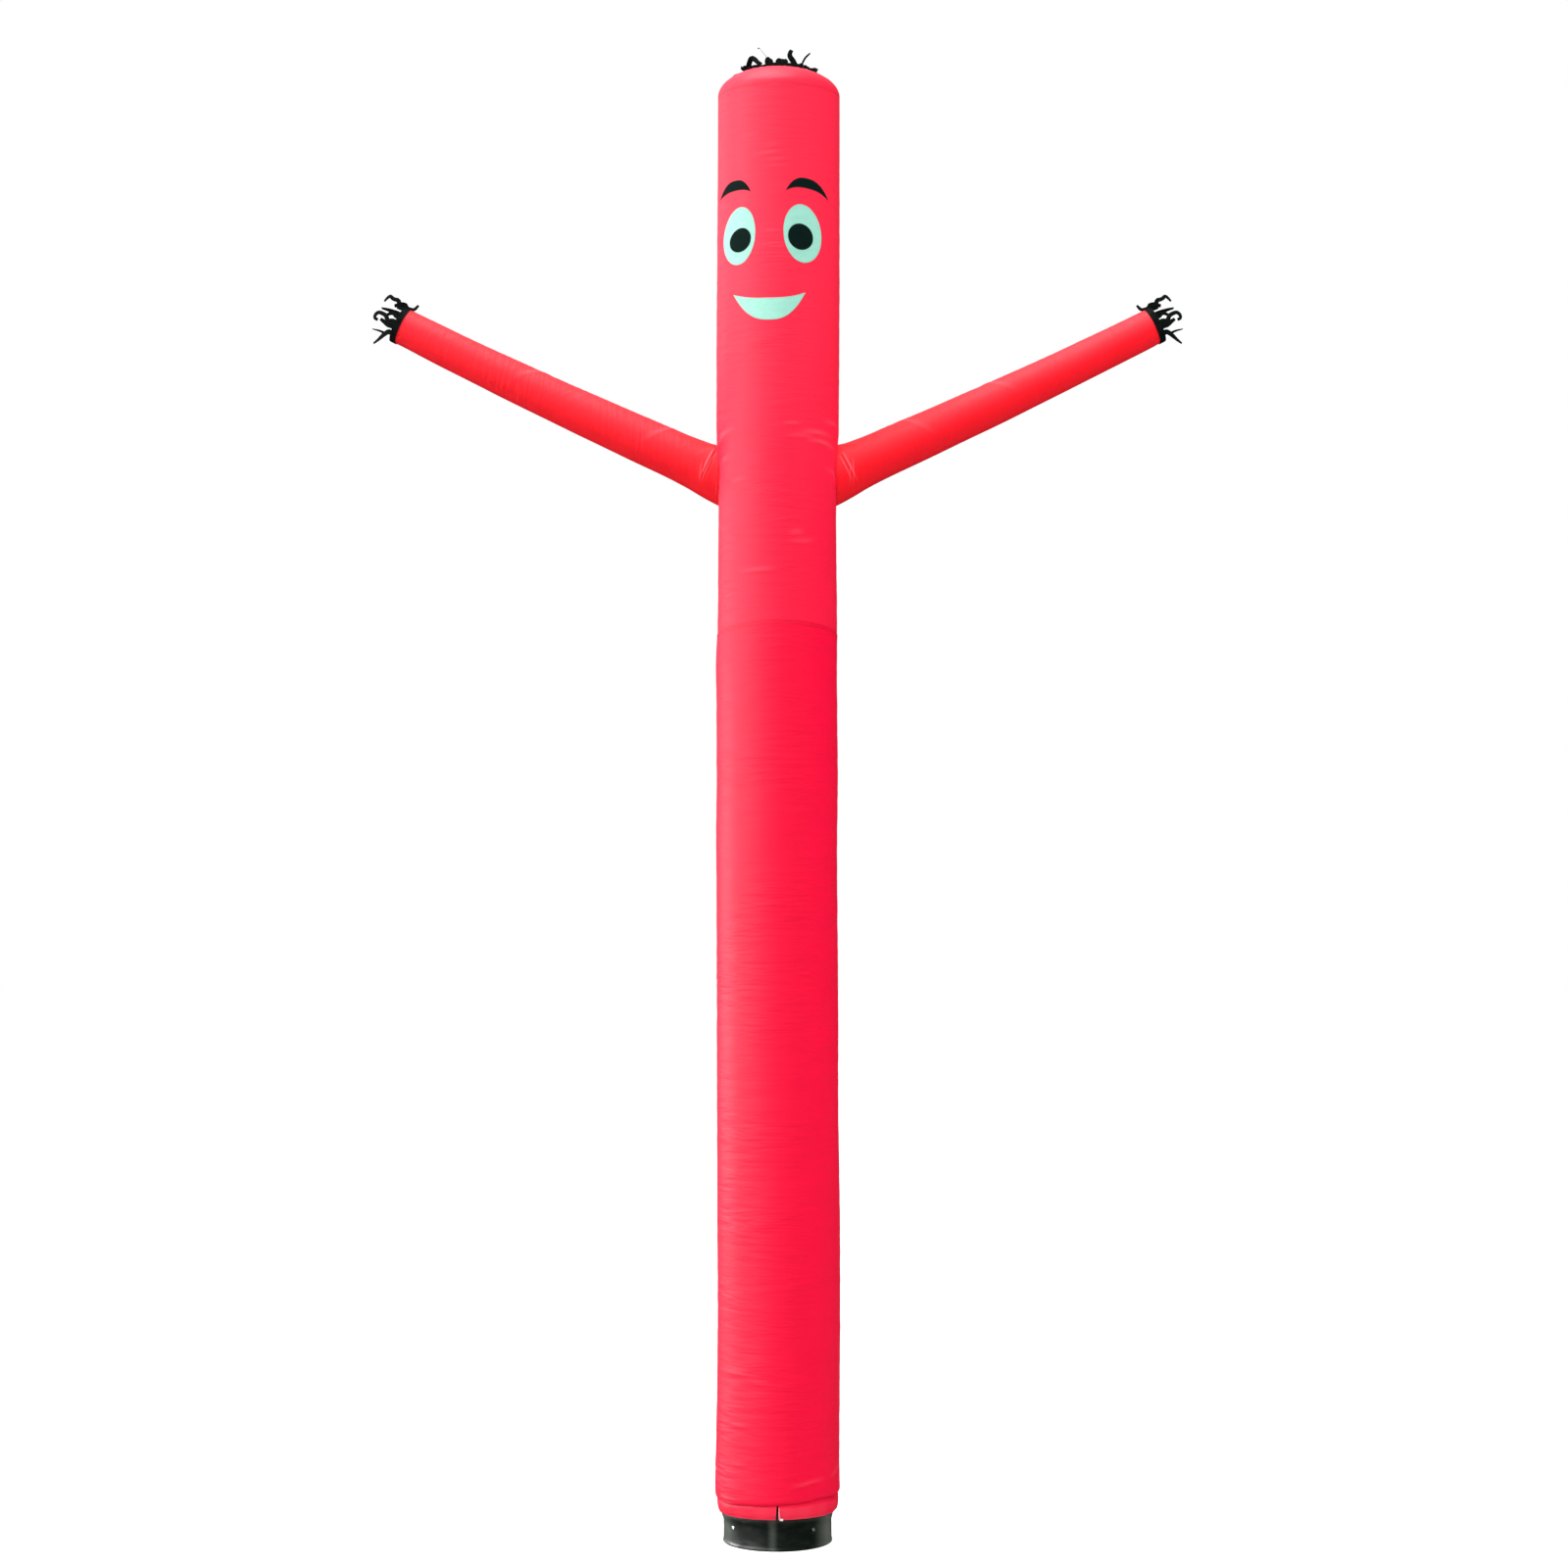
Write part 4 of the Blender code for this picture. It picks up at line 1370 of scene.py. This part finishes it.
# %% Hair
HAIR_RADIUS = 0.105
HAIR_TAPE = 0.010
HAIR_ROOT = (0.0006, 0.003)
HAIR_AXES = Vector((1, 0, 0)), Vector((0, -1, 0)), Vector((0, 0, 1))
HAIR_STREAMERS = table(Streamer, (
    (0.085, 0.019, (0, 10), ((-0.108, 5.990), (-0.125, 5.987), (-0.138, 5.983), (-0.148, 5.985))),
    (
        0.080, 0.022, (0, 30),
        ((-0.112, 5.990), (-0.117, 6.004), (-0.113, 6.020), (-0.106, 6.031), (-0.093, 6.024),
         (-0.081, 6.010), (-0.065, 5.998)),
    ),
    (0.080, 0.012, (0, 10), ((-0.080, 5.994), (-0.095, 5.993), (-0.110, 5.988), (-0.122, 5.984))),
    (
        0.001, 0.010, (75, 75),
        ((-0.036, 6.012), (-0.044, 6.034), (-0.060, 6.060), (-0.074, 6.082), (-0.080, 6.085)),
    ),
    (0.095, 0.021, (0, 0), ((-0.040, 5.996), (-0.042, 6.008), (-0.039, 6.017), (-0.032, 6.006))),
    (0.100, 0.021, (0, 0), ((-0.024, 5.992), (-0.028, 6.000), (-0.030, 6.009), (-0.022, 6.002))),
    (
        0.118, 0.018, (0, 0),
        ((-0.040, 5.992), (-0.018, 5.992), (0.010, 5.991), (0.040, 5.989), (0.075, 5.986), (0.104, 5.982)),
    ),
    (0.100, 0.022, (0, 0), ((0.003, 5.994), (0.002, 6.003), (0.006, 6.010), (0.014, 6.003))),
    (0.100, 0.022, (0, 0), ((0.019, 5.992), (0.017, 6.000), (0.018, 6.008), (0.024, 6.000))),
    (0.100, 0.022, (0, 0), ((0.027, 5.994), (0.028, 6.002), (0.031, 6.007), (0.037, 5.998))),
    (
        0.060, 0.024, (0, -10),
        ((0.090, 5.990), (0.072, 6.000), (0.063, 6.018), (0.050, 6.038), (0.050, 6.050), (0.057, 6.063)),
    ),
    (0.090, 0.022, (0, 10), ((0.085, 5.990), (0.095, 5.994), (0.104, 5.996))),
    (0.030, 0.012, (60, 55), ((0.096, 6.000), (0.112, 6.036), (0.133, 6.058))),
    (0.080, 0.022, (0, 10), ((0.114, 5.982), (0.135, 5.981), (0.150, 5.981), (0.161, 5.973))),
    (0.030, 0.010, (0, 60), ((-0.130, 5.983), (-0.150, 5.978), (-0.174, 5.971), (-0.186, 5.960))),
))
LOOSE_HAIR = Loose(12, 16, 90, 180, (0.1, 0.9), (0.045, 0.070), (80, 150))


def build_hair(finish):
    def tape_spot(turn, reach, up):
        return round_the_body(reach, turn, dome_height(HAIR_RADIUS) + 0.0006 + up)

    def root_at(turn):
        return tape_spot(turn, HAIR_RADIUS - HAIR_ROOT[0], HAIR_ROOT[1])

    def path_start(streamer):
        return [root_at(turn_for(streamer.points[0][0], HAIR_RADIUS, 0.99))]

    def outward_at(turn):
        return round_the_body(1.0, turn, 0.0)

    bm = bmesh.new()
    build_tape(bm, HAIR_RADIUS, HAIR_TAPE, tape_spot, 0.0010)
    lay_shown(bm, HAIR_STREAMERS, Vector(), HAIR_AXES, path_start)
    lay_loose(bm, LOOSE_HAIR, HAIR_AXES[2], outward_at, root_at)
    piece = make_piece("hair_streamers", bm, finish, STREAMER_CLOTH)
    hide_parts("hair_fringe")


build_hair(streamer_finish)

# %% [markdown]
# ## The face
#
# Eyes, pupils, brows and mouth are cut from cloth and zigzagged on. Each outline is drawn as seen from
# the front and then laid round the tube, so it hugs every crease. A second UV map keeps the distance
# from the edge, which is where the stitches go.

# %% Face patches
MINT = (0.280, 0.61, 0.495)
PATCH = 0.0009
PATCH_LIFT = 0.0004
Oval = namedtuple("Oval", "centre half_width half_height lean")
Crescent = namedtuple("Crescent", "left right rise_over rise_under fullness")
EYES = {
    "left": Oval((-0.1535, 5.2775), 0.0640, 0.1150, 0.0062),
    "right": Oval((0.1000, 5.2800), 0.0760, 0.1165, -0.0062),
}
PUPILS = {
    "left": Oval((-0.1500, 5.2600), 0.0425, 0.0480, 0.0041),
    "right": Oval((0.0925, 5.2665), 0.0500, 0.0525, -0.0031),
}
BROWS = {
    "left": Crescent((-0.2330, 5.447), (-0.1078, 5.450), 0.0550, 0.0145, 2.7),
    "right": Crescent((0.0330, 5.449), (0.2050, 5.430), 0.0630, 0.0235, 2.7),
}
MOUTH = Crescent((-0.1777, 5.045), (0.1120, 5.045), -0.0250, -0.1125, 2.6)


def patch_cloth(name, colour, thread_shade, gloss):
    finish = Finish(name)
    flat, across, along = finish.cloth_place("cut")
    _, from_edge, run = finish.cloth_place("trim")
    threads = weave(across, along)
    crumple = finish.grain(flat, 22.0, 48.0)
    zigzag = run.wave(0.006) * 0.0022 + 0.0022
    stitches = finish.node(
        "ShaderNodeMath", {"operation": "COMPARE"}, {0: from_edge, 1: zigzag, 2: 0.0006}
    )
    frayed = 1.0 - from_edge.ramp(0.0, 0.0012)
    shade = finish.mix(crumple.ramp(0.3, 0.8) * 0.4, opaque(colour), opaque(colour, 0.82))
    shade = finish.mix(stitches * 0.55 + frayed * 0.25, shade, opaque(colour, thread_shade))
    finish.set(base_color=shade, roughness=0.6 + crumple * 0.15, specular_ior_level=gloss)
    finish.emboss(crumple * 0.0010 + threads * 0.00002 + stitches * 0.0002)
    return finish.material


def lay_on_skin(bm, layer):
    """Takes a patch drawn at (right, height) and lays it round the body, over `layer` others."""
    lift = PATCH_LIFT + PATCH + layer * (PATCH + PATCH_LIFT)
    for vert in bm.verts:
        right, height = vert.co.x, vert.co.y
        radius = BODY_RADIUS + lift
        for _ in range(3):
            angle = math.asin(right / radius)
            radius = skin_radius(angle, height) + lift
        vert.co = round_the_body(radius, angle, height)


def face_outward(bm, outward):
    bmesh.ops.recalc_face_normals(bm, faces=bm.faces)
    if sum((face.normal for face in bm.faces), Vector()).dot(outward) < 0:
        bmesh.ops.reverse_faces(bm, faces=bm.faces)


def patch_piece(name, bm, finish, layer):
    join_edges(bm)
    keep_flat_places(bm)
    lay_on_skin(bm, layer)
    spot = max(bm.faces, key=lambda face: face.calc_area()).verts[0].co
    face_outward(bm, Vector((spot.x, spot.y, 0)))
    piece = make_piece(f"{name}_cloth", bm, finish, PATCH)
    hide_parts(name)


def egg_patch(name, oval, finish, layer):
    """An oval that leans sideways at its top, in rings from its edge to its middle."""
    bm = cut_panel(math.tau, 1.0, 96, 16)
    size = (oval.half_width + oval.half_height) / 2

    def place(turn, out):
        across, up = out * math.cos(turn), out * math.sin(turn)
        right = oval.centre[0] + oval.half_width * across + oval.lean * up
        return Vector((right, oval.centre[1] + oval.half_height * up, 0))

    lay_uv(bm, "trim", lambda vert: ((1 - vert.co.y) * size, vert.co.x * size))
    shape(bm, place)
    patch_piece(name, bm, finish, layer)


def crescent_patch(name, crescent, finish):
    """Cloth between an upper and a lower curve that share their ends."""
    bm = cut_panel(1.0, 1.0, 72, 14)
    start, end = Vector(crescent.left), Vector(crescent.right)
    length = (end - start).length

    def curves(across):
        """How far along the crescent a column is, and how high its two ends are."""
        share = (1 - math.cos(math.pi * (across + 0.5))) / 2
        off = 1 - abs(2 * share - 1) ** crescent.fullness
        return share, crescent.rise_under * off, crescent.rise_over * off

    def trim(vert):
        across, up = vert.co.xy
        _, low, high = curves(across)
        return min(up, 1 - up) * abs(high - low), (across + 0.5) * length

    def place(across, up):
        share, low, high = curves(across)
        right, height = start.lerp(end, share)
        return Vector((right, height + low + up * (high - low), 0))

    lay_uv(bm, "trim", trim)
    shape(bm, place)
    patch_piece(name, bm, finish, 0)


mint_finish = patch_cloth("mint_cloth", MINT, 0.62, gloss=0.36)
pupil_finish = patch_cloth("black_cloth", (0.0030, 0.0100, 0.0088), 3.0, gloss=0.012)
crescent_patch("mouth", MOUTH, mint_finish)
for side in ("left", "right"):
    egg_patch(f"eye_{side}", EYES[side], mint_finish, 0)
    egg_patch(f"pupil_{side}", PUPILS[side], pupil_finish, 1)
    crescent_patch(f"brow_{side}", BROWS[side], pupil_finish)

# %% [markdown]
# ## The blower's collar
#
# The collar is a short steel tube with a rolled foot, a low shoulder and a bead round its top that keeps
# the hem from slipping off. It is painted nearly black. Two zinc screws hold it to the blower.
# The shoulder was pushed out a little on its left side.

# %% Collar and screws
COLLAR_PROFILE = (
    # (radius, height) from the bore's top, down and out round the foot, then up to the bead
    (0.2130, 0.212), (0.2130, 0.060), (0.2130, 0.004), (0.2145, 0.0), (0.2205, 0.0), (0.2222, 0.0015),
    (0.2226, 0.0045), (0.2220, 0.0085), (0.2206, 0.0115), (0.2200, 0.018), (0.2200, 0.060),
    (0.2201, 0.088), (0.2208, 0.094), (0.2226, 0.100), (0.2244, 0.107), (0.2252, 0.115),
    (0.2252, 0.125), (0.2244, 0.134), (0.2226, 0.143), (0.2206, 0.150), (0.2200, 0.160),
    (0.2200, 0.174), (0.2240, 0.178), (0.2336, 0.1815), (0.2370, 0.185), (0.2382, 0.190),
    (0.2382, 0.196), (0.2366, 0.201), (0.2310, 0.205), (0.2230, 0.208), (0.2190, 0.2105),
    (0.2160, 0.212), (0.2130, 0.212),
)
COLLAR_RADIUS = 0.2200
DENTED_FROM = 0.2175  # the bore, inside this radius, stays round
SCREW_HEAD = 0.0078
SCREW_PLACES = {"collar_screw_left": (-54.7, 0.076), "collar_screw_right": (41.6, 0.076)}


def lay_wall_places(bm, radius):
    """Round and up places of a turned piece, in metres, as UV."""
    cut = bm.loops.layers.uv.new("cut")
    for face in bm.faces:
        middle = face.calc_center_median()
        base = math.atan2(middle.x, -middle.y)
        for loop in face.loops:
            angle = math.atan2(loop.vert.co.x, -loop.vert.co.y)
            angle += math.tau * round((base - angle) / math.tau)
            loop[cut].uv = (angle * radius, loop.vert.co.z)


def turned(profile, steps):
    """A closed profile of (radius, height), spun round the upright axis."""
    bm = bmesh.new()
    verts = [bm.verts.new((0, -radius, height)) for radius, height in profile[:-1]]
    edges = [bm.edges.new(pair) for pair in zip(verts, verts[1:] + verts[:1])]
    bmesh.ops.spin(
        bm, geom=verts + edges, cent=(0, 0, 0), axis=(0, 0, 1), angle=math.tau, steps=steps,
        use_merge=True,
    )
    join_edges(bm)
    bmesh.ops.recalc_face_normals(bm, faces=bm.faces)
    return bm


def collar_paint():
    finish = Finish("collar_paint")
    flat, around, up = finish.cloth_place("cut")
    orange_peel = finish.noise(finish.object_place(), 220.0, 2.0)
    dust = finish.grain(flat, 9.0, 26.0, 5.0, 0.7)
    runs = finish.grain(flat, 120.0, 7.0)
    scuffs = finish.grain(flat, 16.0, 220.0, 3.0).ramp(0.66, 0.74)
    dusty = dust.ramp(0.42, 0.8) * (0.55 + (1.0 - up.ramp(0.0, 0.05)) * 0.45) + runs * 0.12
    shade = finish.mix(dusty, (0.0030, 0.0055, 0.0040, 1), (0.022, 0.028, 0.022, 1))
    shade = finish.mix(scuffs * 0.5, shade, (0.11, 0.12, 0.11, 1))
    # painted reflections: pale bands down the collar's left and right sides and its middle, and a painted
    # highlight along the shoulder
    painted_reflections = (1.0 - around.ramp(-0.285, -0.165)) * 0.8 + around.ramp(0.150, 0.270)
    painted_reflections = around.near(-0.020, 0.026) * 0.4 + painted_reflections + up.near(0.128, 0.018) * 0.22
    shade = finish.mix(painted_reflections * (dust * 0.5 + 0.6), shade, (0.125, 0.140, 0.118, 1))
    finish.set(
        base_color=shade,
        roughness=0.26 + dusty * 0.38 + scuffs * 0.2,
        specular_ior_level=0.25,
    )
    finish.emboss(orange_peel * 0.00006 + scuffs * -0.00008 + runs * 0.00005)
    return finish.material


def dent(angle, height):
    """How far the collar's outside stands out of true."""
    push = max(0.0, math.cos(angle + 1.35)) ** 2 * math.exp(-(((height - 0.122) / 0.024) ** 2))
    ripple = math.sin(5 * angle + 0.7) * math.exp(-(((height - 0.120) / 0.02) ** 2))
    return 0.0045 * push + 0.0006 * ripple


def build_collar(finish):
    bm = turned(COLLAR_PROFILE, 144)
    for vert in bm.verts:
        angle = math.atan2(vert.co.x, -vert.co.y)
        radius = math.hypot(vert.co.x, vert.co.y)
        if radius > DENTED_FROM:
            radius += dent(angle, vert.co.z)
        vert.co = round_the_body(radius, angle, vert.co.z)
    lay_wall_places(bm, COLLAR_RADIUS)
    piece = make_piece("collar_tube", bm, finish)
    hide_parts("collar")


def zinc():
    finish = Finish("screw_zinc")
    bloom = finish.noise(finish.object_place(), 900.0, 3.0)
    _, across, along = finish.cloth_place("cut")
    middle = across * across + along * along
    # darker and less metallic towards the middle of the head
    dark_middle = 1.0 - middle.ramp(0.0, 0.000012)
    shade = finish.mix(bloom.ramp(0.3, 0.7), (0.60, 0.63, 0.62, 1), (0.78, 0.80, 0.78, 1))
    finish.set(
        base_color=finish.mix(dark_middle * 0.6, shade, (0.18, 0.18, 0.17, 1)),
        metallic=1.0 - dark_middle * 0.4,
        roughness=0.30 + bloom * 0.18,
    )
    finish.emboss(bloom * 0.00004)
    return finish.material


def build_screw(name, degrees, height, finish):
    """A domed head with a cross slot, made from a square grid drawn out to a disc."""
    angle = math.radians(degrees)
    outward = round_the_body(1.0, angle, 0.0)
    sideways = Vector((math.cos(angle), math.sin(angle), 0))
    seat = outward * (COLLAR_RADIUS + 0.0001) + Vector((0, 0, height))
    slot_turn = math.radians(27)
    bm = cut_panel(2.0, 2.0, 48, 48)
    bmesh.ops.translate(bm, vec=(0, -1, 0), verts=bm.verts)

    def place(u, v):
        x = u * math.sqrt(max(0.0, 1 - v * v / 2))
        y = v * math.sqrt(max(0.0, 1 - u * u / 2))
        dome = 0.0036 * math.sqrt(max(0.0, 1 - (math.hypot(x, y) / 1.04) ** 2)) - 0.0006
        s = abs(x * math.cos(slot_turn) + y * math.sin(slot_turn))
        t = abs(y * math.cos(slot_turn) - x * math.sin(slot_turn))
        in_cross = min(s, t) < 0.12 and max(s, t) < 0.56
        spot = seat + (sideways * x + Vector((0, 0, y))) * SCREW_HEAD
        return spot + outward * (dome - 0.0014 * in_cross)

    lay_uv(bm, "cut", lambda vert: vert.co.xy * SCREW_HEAD)
    shape(bm, place)
    face_outward(bm, outward)
    piece = make_piece(f"{name}_head", bm, finish, 0.0012)
    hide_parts(name)


build_collar(collar_paint())
zinc_finish = zinc()
for name, (degrees, height) in SCREW_PLACES.items():
    build_screw(name, degrees, height, zinc_finish)

# %% [markdown]
# ## The slit in the hem
#
# The slit's right edge is turned back in a soft roll that catches the light, and a painted highlight
# lies along it. A short end of white tape hangs from its lower corner.

# %% Slit edge and tape end
ROLL_WIDTH = 0.018
ROLL_LENGTH = 0.046
ROLL_FOOT = 0.002
ROLL_RADIUS = 0.0036
TAB_WIDTH = 0.014
TAB_LENGTH = 0.010
TAB_SIDE = 0.0160
TAB_FOOT = 0.1285
TAB_RADIUS = 0.2412


def build_slit_roll(finish):
    """A narrow strip of cloth, rolled back over the slit's right edge."""
    bm = cut_panel(ROLL_WIDTH, ROLL_LENGTH, 10, 20)
    bmesh.ops.translate(bm, vec=(0, ROLL_FOOT, 0), verts=bm.verts)
    keep_flat_places(bm)

    def place(across, along):
        share = across / ROLL_WIDTH + 0.5
        turn = math.pi * (1.15 * share - 0.08)
        offset = ROLL_RADIUS * (1 - 0.35 * along / (ROLL_FOOT + ROLL_LENGTH))
        base = lower_place(SLIT[1], along)
        radius = math.hypot(base.x, base.y) + 0.0016 + math.sin(turn) * offset * 0.8
        angle = (SLIT[1] + offset * (1 - math.cos(turn))) / BODY_RADIUS
        return round_the_body(radius, angle, base.z)

    # painted highlight all over the roll
    lay_highlight_shares(bm, lambda across, along: 0.7 + 0.3 * math.sin(across * 300 + along * 90))
    shape(bm, place)
    return make_piece("slit_roll", bm, finish, 0.0008)


def woven_tape():
    finish = Finish("white_tape")
    flat, across, along = finish.cloth_place("cut")
    ribs = along.wave(0.0016) * across.wave(0.0011)
    wear = finish.noise(flat, 240.0, 3.0)
    shade = finish.mix(wear.ramp(0.3, 0.8) * 0.5, (0.86, 0.84, 0.80, 1), (0.66, 0.60, 0.57, 1))
    finish.set(base_color=finish.mix(ribs * 0.25, shade, (0.55, 0.52, 0.50, 1)), roughness=0.7)
    finish.emboss(ribs * 0.0003 + wear * 0.0002)
    return finish.material


def build_tape_end(finish):
    """A short tape end that is sewn to the corner and curls away from it at its foot."""
    bm = cut_panel(TAB_WIDTH, TAB_LENGTH, 10, 12)

    def place(across, along):
        share = along / TAB_LENGTH
        angle = (TAB_SIDE + across) / BODY_RADIUS
        flare = 0.0016 * (1 - share) ** 2 + 0.0012 * share + 0.0005 * math.sin(3 * share + across * 200)
        return round_the_body(TAB_RADIUS + flare, angle, TAB_FOOT + along)

    shape(bm, place)
    piece = make_piece("tape_end", bm, finish, 0.0010)
    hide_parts("hem_tab")
    return piece


# the roll's cloth takes a strong painted highlight
slit_roll = build_slit_roll(nylon("red_nylon_turned", RED, [], slackness=0.4, painted_highlight=0.9))
tape_end = build_tape_end(woven_tape())

# %% [markdown]
# ## What is cloth
#
# The free sheets are the lower and upper panels, the cap and the two sleeves. The patches, tapes
# and streamers are sewn to these sheets.

# %% Sheets
print("sheets declared:", 3 + len(sleeves))
